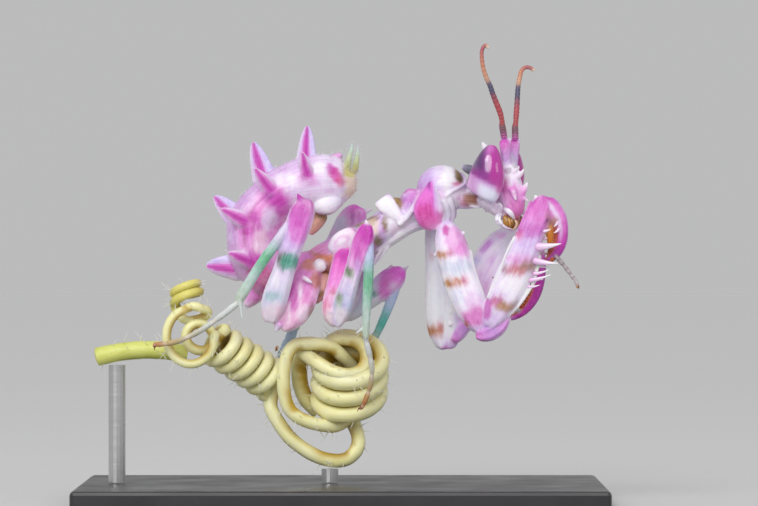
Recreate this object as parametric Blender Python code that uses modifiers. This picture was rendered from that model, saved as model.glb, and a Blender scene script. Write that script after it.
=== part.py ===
"""Spiny flower mantis nymph, life size, on a cut length of coiled tendril and a display stand.

Still model: head to the +X end, right side towards -Y, standing base on z = 0.
Sizes below are in millimetres and are turned into metres by the MM factor.
"""
import math

import bmesh
import bpy
from mathutils import Vector

MM = 0.001
GAP = 0.10              # clear slit left between neighbouring pieces
BASE_LENGTH = 34.0      # display base, along X
BASE_WIDTH = 22.0       # display base, along Y
BASE_HEIGHT = 1.2
BASE_EDGE = 0.25
ROD_RADIUS = 0.55
STEM_RADIUS = 0.60      # thick straight stem of the tendril
SPRING_RADIUS = 0.345   # wiry part of the tendril
STACK_RADIUS = 0.46     # fleshy big coil of the tendril
TIP_RADIUS = 0.24       # small coil at the tendril's tip
HEAD_TURN = math.radians(24.0)   # head turned towards the right side
FEELER_RADIUS = 0.25    # whip of the feeler
TARSUS_RADIUS = 0.25    # foot

for old in list(bpy.data.objects):
    bpy.data.objects.remove(old, do_unlink=True)

PARTS = bpy.data.collections.new("spiny_flower_mantis")
CUTTERS = bpy.data.collections.new("cutters")
bpy.context.scene.collection.children.link(PARTS)
bpy.context.scene.collection.children.link(CUTTERS)


# ---------------------------------------------------------------- shared tools

def material(name, colour, roughness, metallic=0.0):
    """One Principled finish."""
    finish = bpy.data.materials.get(name)
    if finish is None:
        finish = bpy.data.materials.new(name)
        finish.use_nodes = True
        shader = finish.node_tree.nodes["Principled BSDF"]
        shader.inputs["Base Color"].default_value = (*colour, 1.0)
        shader.inputs["Roughness"].default_value = roughness
        shader.inputs["Metallic"].default_value = metallic
    return finish


def petal_pink():
    return material("petal_pink", (0.74, 0.33, 0.66), 0.42)


def pale_lilac():
    return material("pale_lilac", (0.78, 0.70, 0.82), 0.42)


def leg_green():
    return material("leg_green", (0.52, 0.68, 0.66), 0.42)


def eye_purple():
    return material("eye_purple", (0.42, 0.10, 0.40), 0.25)


def feeler_red():
    return material("feeler_red", (0.36, 0.13, 0.12), 0.5)


def tarsus_brown():
    return material("tarsus_brown", (0.45, 0.26, 0.16), 0.5)


def tendril_green():
    return material("tendril_green", (0.62, 0.64, 0.28), 0.5)


def stand_black():
    return material("stand_black", (0.03, 0.03, 0.03), 0.3)


def stand_steel():
    return material("stand_steel", (0.6, 0.6, 0.6), 0.35, 1.0)


def new_object(name, mesh_data, collection, finish=None):
    obj = bpy.data.objects.new(name, mesh_data)
    collection.objects.link(obj)
    if finish is not None:
        obj.data.materials.append(finish)
    if collection is CUTTERS:
        obj.hide_render = True
        obj.display_type = "WIRE"
    return obj


def smooth_path(points, count):
    """Catmull-Rom curve through the points; every column of a point is carried along."""
    rows = [tuple(p) for p in points]
    rows = [rows[0]] + rows + [rows[-1]]
    spans = len(rows) - 3
    path = []
    for step in range(count):
        place = step / (count - 1) * spans
        index = min(int(place), spans - 1)
        t = place - index
        a, b, c, d = rows[index:index + 4]
        row = []
        for p0, p1, p2, p3 in zip(a, b, c, d):
            row.append(0.5 * (2 * p1 + (p2 - p0) * t + (2 * p0 - 5 * p1 + 4 * p2 - p3) * t * t
                              + (3 * p1 - p0 - 3 * p2 + p3) * t ** 3))
        path.append(tuple(row))
    return path


def ring_frames(centres, side_hint):
    """Tangent, in-plane normal and binormal at each centre; the binormal stays near side_hint."""
    frames = []
    last = len(centres) - 1
    for i, here in enumerate(centres):
        ahead = centres[min(i + 1, last)] - centres[max(i - 1, 0)]
        tangent = ahead.normalized()
        normal = side_hint.cross(tangent).normalized()
        frames.append((tangent, normal, tangent.cross(normal).normalized()))
    return frames


def loft_mesh(name, stations, sides=10, keel=1.0, side_hint=(0, 1, 0), dome=0.6):
    """Closed skin over rings: each station is (x, y, z, half width, half thickness).

    keel under 1 pinches the rim of the section into a blade edge; dome rounds both ends.
    """
    centres = [Vector(s[:3]) for s in stations]
    frames = ring_frames(centres, Vector(side_hint))
    mesh = bmesh.new()
    rings = []
    for centre, (tangent, normal, binormal), s in zip(centres, frames, stations):
        ring = []
        for k in range(sides):
            angle = 2 * math.pi * k / sides
            across = math.cos(angle)
            up = math.copysign(abs(math.sin(angle)) ** (2.0 - keel), math.sin(angle))
            ring.append(mesh.verts.new(centre + normal * (s[3] * across) + binormal * (s[4] * up)))
        rings.append(ring)
    for lower, upper in zip(rings, rings[1:]):
        for k in range(sides):
            following = (k + 1) % sides
            mesh.faces.new((lower[k], lower[following], upper[following], upper[k]))
    for ring, centre, frame, s, sign in ((rings[0], centres[0], frames[0], stations[0], -1),
                                         (rings[-1], centres[-1], frames[-1], stations[-1], 1)):
        pole = mesh.verts.new(centre + frame[0] * (sign * dome * min(s[3], s[4])))
        for k in range(sides):
            following = (k + 1) % sides
            mesh.faces.new((ring[following], ring[k], pole) if sign < 0 else
                           (ring[k], ring[following], pole))
    bmesh.ops.recalc_face_normals(mesh, faces=mesh.faces)
    for vert in mesh.verts:
        vert.co *= MM
    data = bpy.data.meshes.new(name)
    mesh.to_mesh(data)
    mesh.free()
    data.shade_smooth()
    data.set_sharp_from_angle(angle=math.radians(50))
    return data


def limb(name, finish, points, rings=6, **shape):
    """A leg or body length: a few stations, smoothed, then skinned."""
    return new_object(name, loft_mesh(name, smooth_path(points, rings), **shape), PARTS, finish)


def round_rows(points, radius):
    """Stations of a thin round limb of one radius."""
    return [(*p, radius, radius) for p in points]


def spike_mesh(base, tip, width, thickness, lean=(0, 1, 0)):
    """A blade-like spine from base to tip; its flat faces look along lean."""
    base, tip = Vector(base), Vector(tip)
    stations = []
    for t in (0.0, 0.45, 0.92):
        here = base.lerp(tip, t)
        taper = 1.0 - t
        stations.append((*here, width * taper + 0.10 * t, max(thickness * taper, 0.09)))
    return loft_mesh("spike", stations, sides=6, side_hint=lean, dome=0.5)


def is_closed(data):
    """True where every edge of the mesh has two faces."""
    mesh = bmesh.new()
    mesh.from_mesh(data)
    closed = len(mesh.faces) > 0 and all(len(edge.link_faces) == 2 for edge in mesh.edges)
    mesh.free()
    return closed


def use_boolean(host, tool, operation):
    """Apply one Boolean and throw the tool away: exact, or manifold where exact leaves a hole."""
    modifier = host.modifiers.new("cut", "BOOLEAN")
    modifier.operation = operation
    modifier.object = tool
    for solver in ("EXACT", "MANIFOLD"):
        modifier.solver = solver
        depsgraph = bpy.context.evaluated_depsgraph_get()
        result = bpy.data.meshes.new_from_object(host.evaluated_get(depsgraph))
        if is_closed(result):
            break
    host.modifiers.clear()
    host.data = result
    bpy.data.objects.remove(tool, do_unlink=True)


def add_spikes(host, spikes, lean=(0, 1, 0)):
    """Join spines to the piece that they grow from."""
    for base, tip, width, thickness in spikes:
        tool = new_object("spike", spike_mesh(base, tip, width, thickness, lean), CUTTERS)
        use_boolean(host, tool, "UNION")


def grown_copy(host, amount):
    """A cutter: the piece swollen by amount along its normals."""
    mesh = bmesh.new()
    mesh.from_mesh(host.data)
    mesh.normal_update()
    bmesh.ops.triangulate(mesh, faces=mesh.faces)
    mesh.normal_update()
    for vert in mesh.verts:
        vert.co += vert.normal * amount * MM
    data = bpy.data.meshes.new("grown")
    mesh.to_mesh(data)
    mesh.free()
    return new_object("grown", data, CUTTERS)


def keep_largest(host):
    """Drop the crumbs that a cut can leave."""
    mesh = bmesh.new()
    mesh.from_mesh(host.data)
    bmesh.ops.remove_doubles(mesh, verts=mesh.verts, dist=0.001 * MM)
    left = set(mesh.verts)
    islands = []
    while left:
        seed = left.pop()
        island = {seed}
        front = [seed]
        while front:
            for edge in front.pop().link_edges:
                for vert in edge.verts:
                    if vert in left:
                        left.discard(vert)
                        island.add(vert)
                        front.append(vert)
        islands.append(island)
    islands.sort(key=len)
    for island in islands[:-1]:
        bmesh.ops.delete(mesh, geom=list(island), context="VERTS")
    bmesh.ops.recalc_face_normals(mesh, faces=mesh.faces)
    mesh.to_mesh(host.data)
    mesh.free()


def make_room(host, *neighbours):
    """Cut the host back where it would run into its neighbours."""
    for neighbour in neighbours:
        use_boolean(host, grown_copy(neighbour, GAP), "DIFFERENCE")
        keep_largest(host)


def slice_off(host, point, normal):
    """Keep what lies behind the plane, and close the cut."""
    mesh = bmesh.new()
    mesh.from_mesh(host.data)
    geometry = mesh.verts[:] + mesh.edges[:] + mesh.faces[:]
    cut = bmesh.ops.bisect_plane(mesh, geom=geometry, plane_co=Vector(point) * MM,
                                 plane_no=Vector(normal), dist=1e-7, clear_outer=True)
    rim = [e for e in cut["geom_cut"] if isinstance(e, bmesh.types.BMEdge)]
    bmesh.ops.holes_fill(mesh, edges=rim)
    bmesh.ops.recalc_face_normals(mesh, faces=mesh.faces)
    mesh.to_mesh(host.data)
    mesh.free()


def part_lengths(lengths, line, cuts):
    """Part copies of one body at planes across its line, with half the slit on each side."""
    for n, cut in enumerate(cuts):
        here = Vector(line[cut][:3])
        along = (Vector(line[cut + 1][:3]) - Vector(line[cut - 1][:3])).normalized()
        for piece in lengths[:n + 1]:
            slice_off(piece, here - along * GAP / 2, along)
        for piece in lengths[n + 1:]:
            slice_off(piece, here + along * GAP / 2, -along)
    for piece in lengths:
        keep_largest(piece)


# ---------------------------------------------------------------- tendril

def loop(centre, across, depth, start, turns, rise=(0, 0, 0), steps=12):
    """Points round a tilted ring that climbs by rise each turn; angles are in turns."""
    points = []
    count = max(int(steps * turns), 2)
    for step in range(count + 1):
        part = step / count * turns
        angle = 2 * math.pi * (start + part)
        points.append(Vector(centre) + Vector(across) * math.cos(angle)
                      + Vector(depth) * math.sin(angle) + Vector(rise) * part)
    return points


def tube(name, points, radius, taper=None):
    """Round strand as a poly curve, made a mesh with its caps welded."""
    curve = bpy.data.curves.new(name, "CURVE")
    curve.dimensions = "3D"
    curve.bevel_depth = radius * MM
    curve.bevel_resolution = 2
    curve.use_fill_caps = True
    spline = curve.splines.new("POLY")
    spline.points.add(len(points) - 1)
    for index, place in enumerate(points):
        spline.points[index].co = (*(Vector(place) * MM), 1.0)
        spline.points[index].radius = 1.0 if taper is None else taper(index / (len(points) - 1))
    guide = bpy.data.objects.new(name + "_curve", curve)
    CUTTERS.objects.link(guide)
    depsgraph = bpy.context.evaluated_depsgraph_get()
    data = bpy.data.meshes.new_from_object(guide.evaluated_get(depsgraph))
    bpy.data.objects.remove(guide, do_unlink=True)
    mesh = bmesh.new()
    mesh.from_mesh(data)
    bmesh.ops.remove_doubles(mesh, verts=mesh.verts, dist=0.001 * MM)
    bmesh.ops.recalc_face_normals(mesh, faces=mesh.faces)
    mesh.to_mesh(data)
    mesh.free()
    data.name = name
    return data


def strand(name, finish, points, radius, taper=None):
    return new_object(name, tube(name, points, radius, taper), PARTS, finish)


def link(first, last, pull=0.9, count=4):
    """Inner points of a smooth bridge from the end of one run of points to the start of the next."""
    p0, p3 = Vector(first[-1]), Vector(last[0])
    reach = (p3 - p0).length * pull / 2
    p1 = p0 + (p0 - Vector(first[-2])).normalized() * reach
    p2 = p3 - (Vector(last[1]) - p3).normalized() * reach
    bridge = []
    for step in range(1, count + 1):
        t = step / (count + 1)
        bridge.append(p0 * (1 - t) ** 3 + 3 * p1 * t * (1 - t) ** 2
                      + 3 * p2 * t * t * (1 - t) + p3 * t ** 3)
    return bridge


def make_tendril():
    """The perch: stem stub, tip coil, face-on loops with spring, bottom loop with stack, side loop."""
    green = tendril_green()
    stem = smooth_path([(-15.86, -1.1, 9.43), (-14.3, -1.1, 9.75), (-12.74, -1.1, 9.88),
                        (-11.38, -1.1, 9.81)], 7)
    strand("tendril_stem", green, stem, STEM_RADIUS)

    tip_coil = loop((-10.34, -1.5, 13.71), (0.91, 0.0, 0.2), (0.0, -0.85, 0.16), 0.0, 1.5,
                    rise=(0.23, 0.0, -0.55), steps=11)
    stalk_end = [Vector((-10.92, -1.15, 12.42)), Vector((-10.66, -1.2, 11.83))]
    points = tip_coil + link(tip_coil, stalk_end, 0.8, 2) + stalk_end
    strand("tendril_tip_coil", green, points, TIP_RADIUS + 0.02, taper=lambda t: 0.8 + 0.45 * t)

    crown = smooth_path([(-10.27, -2.05, 11.7), (-9.23, -2.0, 11.83), (-8.45, -2.35, 12.09),
                         (-9.04, -2.9, 12.45)], 6)
    outer = loop((-9.81, -2.85, 10.66), (1.66, 0.0, 0.0), (0.0, 0.0, 1.76), 0.28, 0.72, steps=12)
    inner = loop((-9.29, -2.55, 10.53), (1.14, 0.3, -0.2), (0.2, 0.0, 1.04), 0.08, 0.92, steps=11,
                 rise=(0.26, 0.5, 0.26))
    axis_step = Vector((0.71, 0.4, -0.48))
    ring_a = Vector((0.65, 0.0, 0.88))
    ring_b = ring_a.cross(axis_step).normalized() * ring_a.length
    spring = loop((-8.32, -1.75, 10.27), ring_a, ring_b, 0.0, 5.2, rise=axis_step, steps=10)
    points = crown + link(crown, outer, 1.0, 2) + outer + link(outer, inner, 0.9, 3) + inner
    points += link(inner, spring, 0.7, 2) + spring
    strand("tendril_spring", green, points, SPRING_RADIUS)

    bottom = smooth_path([(-4.68, 0.1, 6.5), (-4.42, -0.15, 5.66), (-3.31, -0.4, 4.09),
                          (-1.56, -0.45, 2.93),
                          (0.07, -0.4, 2.7), (0.98, -0.2, 3.45), (0.98, 0.5, 4.49), (0.46, 1.3, 5.46)], 14)
    ring = loop((0.33, 0.5, 6.34), (1.98, 0.0, 0.0), (0.0, 1.5, 1.17), 0.28, 2.97, steps=11,
                rise=(0.03, -0.36, 1.06))
    crown = smooth_path([(-2.02, 0.75, 9.69), (-2.67, -0.2, 9.85), (-1.95, -1.0, 9.29),
                         (-0.78, -1.65, 8.58),
                         (0.2, -1.8, 8.29), (1.1, -1.45, 8.45), (1.5, -0.7, 9.17), (1.3, 0.2, 10.01),
                         (0.72, 0.9, 10.6), (0.0, 1.25, 10.72), (-0.78, 1.25, 10.46)], 16)
    points = bottom + link(bottom, ring, 0.8, 3) + ring + link(ring, crown, 0.9, 4) + crown
    strand("tendril_stack", green, points, STACK_RADIUS)

    side = smooth_path([(0.2, -0.1, 9.49), (-0.84, -0.6, 10.08), (-2.15, -1.15, 10.3),
                        (-3.19, -1.35, 10.08),
                        (-3.64, -1.4, 9.1), (-3.77, -1.35, 7.67), (-3.51, -1.2, 6.24), (-2.73, -1.2, 5.46),
                        (-1.76, -1.0, 5.1), (-0.91, -0.7, 4.94), (-0.39, -0.3, 4.88)], 18)
    strand("tendril_side_loop", green, side, STACK_RADIUS * 0.93)


# ---------------------------------------------------------------- abdomen

def make_abdomen():
    """Abdomen curled up over the back, in five lengths with their blades and small spines.

    Stations run from the root to the tail: x, y, z, half depth, half width.
    """
    line = smooth_path([(-1.56, 0.0, 15.34, 1.20, 1.35), (-2.86, 0.0, 14.62, 1.55, 1.90),
                        (-4.55, 0.0, 14.88, 1.80, 2.30),
                        (-5.53, 0.0, 16.32, 1.90, 2.45), (-5.59, 0.0, 18.0, 1.85, 2.45),
                        (-4.68, 0.0, 19.44, 1.62, 2.40),
                        (-3.31, 0.0, 20.28, 1.74, 2.25), (-1.82, 0.0, 20.67, 1.82, 2.00),
                        (-0.33, 0.0, 20.73, 1.74, 1.65),
                        (0.58, 0.0, 20.73, 0.90, 0.90)], 21)
    pink = petal_pink()
    # tall blade on the mid line: host length, root, tip
    blades = ((1, (-6.44, 0.0, 15.08), (-8.87, 0.0, 15.31)), (2, (-6.37, 0.0, 18.59), (-8.32, 0.0, 19.82)),
              (3, (-4.62, 0.0, 20.67), (-5.75, 0.0, 23.34)), (4, (-2.34, 0.0, 21.52), (-2.24, 0.0, 24.38)))
    # short spine of each side row, given for the right side
    flanks = ((1, (-5.98, -1.6, 15.6), (-7.35, -2.9, 16.19)), (2, (-6.44, -1.5, 18.07),
                                                               (-7.83, -2.8, 19.01)),
              (3, (-4.68, -1.5, 20.09), (-5.66, -2.8, 21.64)), (4, (-2.34, -1.3, 21.0),
                                                                (-2.5, -2.5, 22.75)))
    cuts = (5, 8, 10, 14)
    lengths = []
    for n in range(5):
        piece = new_object("abdomen_%d" % (n + 1), loft_mesh("abdomen", line, sides=14, keel=0.9), PARTS,
                           pink)
        for host, root, tip in blades:
            if host == n:
                add_spikes(piece, [(root, tip, 0.68, 0.42)])
        for host, root, tip in flanks:
            if host == n:
                for side in (1, -1):
                    add_spikes(piece, [((root[0], side * root[1], root[2]),
                                        (tip[0], side * tip[1], tip[2]), 0.5, 0.42)])
        if n == 0:
            add_spikes(piece, [((-5.2, 0.0, 14.5), (-6.31, 0.0, 12.68), 0.75, 0.6)])
        lengths.append(piece)
    part_lengths(lengths, line, cuts)
    for side, name in ((-1, "right"), (1, "left")):
        root = Vector((0.26, 0.0, 21.25)) + Vector((0, side * 0.55, 0))
        middle = Vector((0.58, 0.0, 22.23)) + Vector((0, side * 0.75, 0))
        tip = Vector((0.84, 0.0, 23.27)) + Vector((-side * 0.16, side * 0.85, 0))
        cercus = limb("cercus_" + name, leg_green(),
                      [(*root, 0.36, 0.36), (*middle, 0.34, 0.34), (*tip, 0.16, 0.16)], 5, sides=8)
        make_room(cercus, lengths[4])
    return lengths


# ---------------------------------------------------------------- thorax

def make_thorax():
    """Metathorax, mesothorax, pronotum and neck along one line, parted by thin slits.

    Stations run from the rear to the head: x, y, z, half depth, half width.
    """
    line = [(-1.62, 0.0, 15.41, 1.25, 1.45), (-0.52, 0.0, 16.19, 1.45, 1.75), (0.65, 0.0, 17.09, 1.50,
                                                                               1.80),
            (2.02, 0.0, 17.94, 1.45, 1.70), (3.38, 0.0, 18.72, 1.15, 1.35), (4.49, 0.0, 19.21, 0.98, 1.20),
            (5.4, 0.0, 19.7, 1.24, 1.60), (6.17, 0.0, 20.15, 1.66, 1.90), (6.96, 0.0, 20.21, 1.62, 1.80),
            (7.61, 0.0, 20.09, 1.05, 1.25), (8.06, 0.0, 19.89, 0.78, 0.85), (8.91, -0.15, 19.82, 0.74,
                                                                             0.80)]
    rows = smooth_path(line, 25)
    white = pale_lilac()
    names = ("metathorax", "mesothorax", "pronotum", "neck")
    pieces = [new_object(name, loft_mesh(name, rows, sides=14), PARTS, white) for name in names]
    part_lengths(pieces, rows, (5, 9, 20))
    return pieces


# ---------------------------------------------------------------- head

HEAD_CENTRE = Vector((10.46, -0.45, 20.8))
FACE = Vector((math.cos(HEAD_TURN), -math.sin(HEAD_TURN), 0))
RIGHT_SIDE = Vector((-math.sin(HEAD_TURN), -math.cos(HEAD_TURN), 0))


def on_head(sideways, forward, upward):
    """A place on the turned head: towards its right, towards its face, and up from its centre."""
    return HEAD_CENTRE + RIGHT_SIDE * sideways + FACE * forward + Vector((0, 0, upward))


def head_stations(rows):
    """Stations down the head from rows of height, forward shift, half width and half depth."""
    return [(*on_head(0, forward, up), depth, width) for up, forward, width, depth in rows]


def make_head():
    """Head capsule with mouthparts, face spikes and crown thorns; conical eyes; feelers."""
    rows = head_stations(((1.95, 0.05, 0.62, 0.40), (1.40, 0.15, 1.15, 0.76), (0.60, 0.20, 1.50, 1.06),
                          (-0.30, 0.20, 1.40, 1.06), (-1.20, 0.28, 1.02, 0.92), (-1.95, 0.36, 0.74, 0.72),
                          (-2.60, 0.18, 0.56, 0.58), (-3.05, 0.00, 0.36, 0.38)))
    head = limb("head", pale_lilac(), rows, 9, sides=12, side_hint=tuple(RIGHT_SIDE))
    spikes = [(on_head(0, 0.80, 0.78), on_head(0.0, 1.62, 0.92), 0.34, 0.30),
              (on_head(0, 0.85, 0.05), on_head(0.0, 1.80, -0.05), 0.42, 0.32),
              (on_head(0, 0.80, -0.95), on_head(0.0, 1.72, -1.20), 0.40, 0.34)]
    for side in (1, -1):
        spikes.append((on_head(side * 0.80, -0.25, 1.20), on_head(side * 1.15, -0.55, 2.35), 0.34, 0.30))
        spikes.append((on_head(side * 0.46, -0.10, -1.50), on_head(side * 0.44, -0.20, -2.95), 0.34, 0.26))
    add_spikes(head, spikes, lean=tuple(RIGHT_SIDE))

    for side, name in ((1, "right"), (-1, "left")):
        eye_rows = []
        for up, out, fore, depth, width in ((-1.72, 1.45, -0.20, 0.34, 0.30), (-1.20, 1.62, -0.22, 0.80,
                                                                               0.62),
                                            (-0.35, 1.78, -0.25, 1.04, 0.82), (0.55, 1.84, -0.28, 0.96,
                                                                               0.78),
                                            (1.35, 1.80, -0.32, 0.62, 0.54), (1.90, 1.74, -0.36, 0.24,
                                                                              0.22)):
            eye_rows.append((*on_head(side * out, fore, up + 0.42), depth, width))
        eye = limb("eye_" + name, eye_purple(), eye_rows, 8, sides=10, side_hint=tuple(RIGHT_SIDE))
        make_room(head, eye)

        scape = [(*on_head(side * 0.86, 0.45, 1.25), 0.34, 0.30), (*on_head(side * 0.90, 0.42, 1.80),
                                                                   0.33, 0.30),
                 (*on_head(side * 0.92, 0.38, 2.45), 0.27, 0.27)]
        whip = [on_head(side * 0.98, 0.36, 3.1), on_head(side * 1.12, 0.35, 4.15)]
        if side > 0:
            whip += [(9.62, -2.1, 26.71), (9.17, -2.3, 27.82), (8.97, -2.45, 28.8), (9.17, -2.5, 29.41),
                     (9.49, -2.5, 29.45)]
        else:
            whip += [(11.41, 0.9, 26.71), (11.63, 1.05, 27.76), (12.03, 1.1, 28.24), (12.54, 1.15, 28.11)]
        feeler = scape + round_rows(whip, FEELER_RADIUS)
        antenna = limb("antenna_" + name, feeler_red(), feeler, 14, sides=6, side_hint=tuple(RIGHT_SIDE))
        make_room(antenna, eye)
        make_room(head, antenna)
    return head


# ---------------------------------------------------------------- legs

def make_leg(name, finish, coxa, femur, tibia, tarsus, spikes=(), tibia_spikes=(), trochanter=None):
    """One leg as coxa, femur, tibia and tarsus; each piece is cut back from the one before it.

    Stations run from the body outwards: x, y, z, half width seen from the side, half thickness.
    """
    pieces = {"coxa": limb("coxa_" + name, finish[0], coxa, 6, sides=10, keel=0.9),
              "femur": limb("femur_" + name, finish[0], femur, 8, sides=10, keel=0.9),
              "tibia": limb("tibia_" + name, finish[1], tibia, 6, sides=8),
              "tarsus": limb("tarsus_" + name, finish[2], tarsus, 7, sides=6)}
    add_spikes(pieces["femur"], spikes)
    if trochanter is not None:
        lobe = limb("trochanter_" + name, finish[0], trochanter, 5, sides=10, keel=0.9)
        make_room(lobe, pieces["coxa"])
        make_room(pieces["femur"], lobe)
    make_room(pieces["femur"], pieces["coxa"])
    make_room(pieces["tibia"], pieces["femur"])
    add_spikes(pieces["tibia"], tibia_spikes)
    make_room(pieces["tarsus"], pieces["tibia"])
    return pieces


def make_fore_legs():
    """Raptorial legs, folded: broad petal-like coxae and femora, curved tibiae with a spur."""
    finish = (pale_lilac(), petal_pink(), tarsus_brown())
    right = make_leg(
        "fore_right", finish,
        coxa=[(6.57, -1.3, 18.46, 0.85, 0.70), (7.02, -1.9, 16.64, 1.08, 0.78), (7.48, -2.3, 14.82, 1.16,
                                                                                 0.78),
              (8.12, -2.6, 13.13, 1.22, 0.72), (8.64, -2.7, 11.96, 1.00, 0.62), (8.97, -2.7, 11.18, 0.60,
                                                                                 0.45)],
        trochanter=[(8.78, -2.75, 10.99, 0.40, 0.36), (9.36, -2.8, 11.12, 0.66, 0.52),
                    (9.95, -2.85, 11.44, 0.70, 0.50),
                    (10.4, -2.9, 11.89, 0.36, 0.32)],
        femur=[(9.55, -3.0, 11.51, 0.50, 0.44), (10.4, -3.05, 13.2, 1.12, 0.72), (11.38, -3.1, 15.08,
                                                                                  1.17, 0.78),
               (12.09, -3.1, 16.84, 1.02, 0.72), (12.68, -3.0, 18.39, 0.95, 0.62), (13.0, -3.0, 19.3,
                                                                                    0.60, 0.44)],
        tibia=[(13.39, -3.0, 19.5, 0.38, 0.36), (13.91, -3.0, 18.79, 0.46, 0.40), (14.17, -3.0, 17.68,
                                                                                   0.44, 0.38),
               (14.04, -3.0, 16.51, 0.38, 0.34), (13.65, -3.0, 15.6, 0.27, 0.27), (13.26, -3.0, 14.88,
                                                                                   0.14, 0.16)],
        tarsus=round_rows([(13.91, -3.35, 15.99), (14.24, -3.5, 15.34), (14.62, -3.6, 14.62),
                           (15.08, -3.6, 14.04)], TARSUS_RADIUS),
        spikes=[((12.48, -3.1, 15.6), (13.91, -3.1, 15.47), 0.34, 0.26), ((12.09, -3.1, 14.82),
                                                                          (13.46, -3.1, 14.76), 0.34,
                                                                          0.26)])
    left = make_leg(
        "fore_left", finish,
        coxa=[(6.24, 1.2, 18.07, 0.85, 0.70), (6.57, 1.7, 15.99, 1.08, 0.78), (6.63, 2.1, 13.78, 1.18,
                                                                               0.78),
              (6.7, 2.4, 11.83, 1.24, 0.72), (6.79, 2.5, 10.66, 1.08, 0.60), (6.83, 2.5, 9.88, 0.58, 0.42)],
        trochanter=[(7.41, 2.1, 10.53, 0.34, 0.30), (7.8, 2.2, 11.05, 0.52, 0.42), (8.19, 2.3, 11.7, 0.40,
                                                                                    0.34)],
        femur=[(7.74, 2.5, 11.12, 0.55, 0.45), (8.64, 2.7, 12.94, 1.22, 0.66), (9.62, 2.8, 14.82, 1.46,
                                                                                0.74),
               (10.72, 2.8, 16.51, 1.26, 0.70), (11.83, 2.7, 17.48, 0.90, 0.60), (12.48, 2.7, 17.81, 0.46,
                                                                                  0.40)],
        tibia=[(12.68, 2.3, 17.16, 0.38, 0.36), (12.8, 2.0, 15.99, 0.46, 0.40), (12.74, 1.8, 14.43, 0.42,
                                                                                 0.38),
               (12.48, 1.7, 13.13, 0.40, 0.34), (11.83, 1.6, 12.29, 0.30, 0.28), (10.86, 1.6, 11.83, 0.16,
                                                                                  0.16)],
        tarsus=round_rows([(12.29, 1.1, 12.94), (11.44, 0.7, 13.13), (10.6, 0.55, 13.78),
                           (9.88, 0.5, 14.43)], TARSUS_RADIUS))
    return right, left


def make_middle_legs():
    """Middle legs: petal coxa, lobed femur, thin tibia, tarsus gripping the stack."""
    finish = (petal_pink(), leg_green(), tarsus_brown())
    right = make_leg(
        "middle_right", finish,
        coxa=[(0.2, -1.2, 16.77, 0.80, 0.60), (-0.07, -2.0, 15.34, 0.88, 0.62), (-0.39, -2.5, 13.78, 0.80,
                                                                                 0.58),
              (-0.72, -2.7, 12.35, 0.66, 0.50), (-0.78, -2.7, 11.7, 0.34, 0.32)],
        femur=[(-0.39, -2.9, 11.83, 0.30, 0.30), (0.2, -3.15, 13.2, 0.66, 0.48), (0.65, -3.3, 14.69, 0.64,
                                                                                  0.50),
               (1.17, -3.4, 16.38, 0.66, 0.50), (1.62, -3.4, 17.55, 0.52, 0.44), (1.76, -3.4, 18.07, 0.30,
                                                                                  0.30)],
        tibia=[(1.69, -3.55, 17.75, 0.27, 0.27), (1.76, -3.6, 15.99, 0.32, 0.30), (1.69, -3.6, 13.52,
                                                                                   0.32, 0.28),
               (1.56, -3.55, 11.57, 0.28, 0.27), (1.56, -3.5, 10.66, 0.26, 0.26)],
        tarsus=round_rows([(1.56, -3.4, 10.46), (1.76, -3.2, 9.55), (1.95, -2.95, 8.45),
                           (1.76, -2.75, 7.28),
                           (1.3, -2.6, 6.17)], TARSUS_RADIUS),
        spikes=[((-0.26, -3.0, 12.35), (-1.17, -3.0, 12.35), 0.45, 0.36)],
        tibia_spikes=[((1.56, -3.55, 11.44), (0.98, -3.6, 10.99), 0.24, 0.22)])
    left = make_leg(
        "middle_left", finish,
        coxa=[(1.69, 1.2, 16.77, 0.80, 0.60), (1.24, 2.0, 15.08, 0.84, 0.60), (0.65, 2.4, 13.39, 0.74,
                                                                               0.55),
              (0.26, 2.6, 12.22, 0.50, 0.45), (0.13, 2.6, 11.77, 0.30, 0.30)],
        femur=[(0.39, 2.8, 11.89, 0.30, 0.30), (1.24, 3.0, 12.68, 0.60, 0.46), (2.08, 3.1, 13.39, 0.66,
                                                                                0.50),
               (2.86, 3.15, 14.11, 0.92, 0.52), (3.51, 3.1, 14.69, 0.76, 0.48), (3.83, 3.1, 14.95, 0.38,
                                                                                 0.34)],
        tibia=[(3.58, 3.2, 14.17, 0.32, 0.30), (3.19, 3.15, 13.0, 0.34, 0.30), (2.67, 3.1, 11.7, 0.30,
                                                                                0.27),
               (2.02, 3.0, 10.4, 0.26, 0.26)],
        tarsus=round_rows([(1.95, 2.95, 10.27), (2.15, 2.95, 9.49), (2.27, 2.95, 8.52), (2.08, 2.9, 7.54),
                           (1.69, 2.85, 6.76)], TARSUS_RADIUS),
        spikes=[((3.64, 3.1, 14.82), (4.36, 3.1, 15.28), 0.34, 0.28)],
        tibia_spikes=[((2.08, 3.05, 10.79), (1.56, 3.1, 10.53), 0.24, 0.22)])
    return right, left


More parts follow.
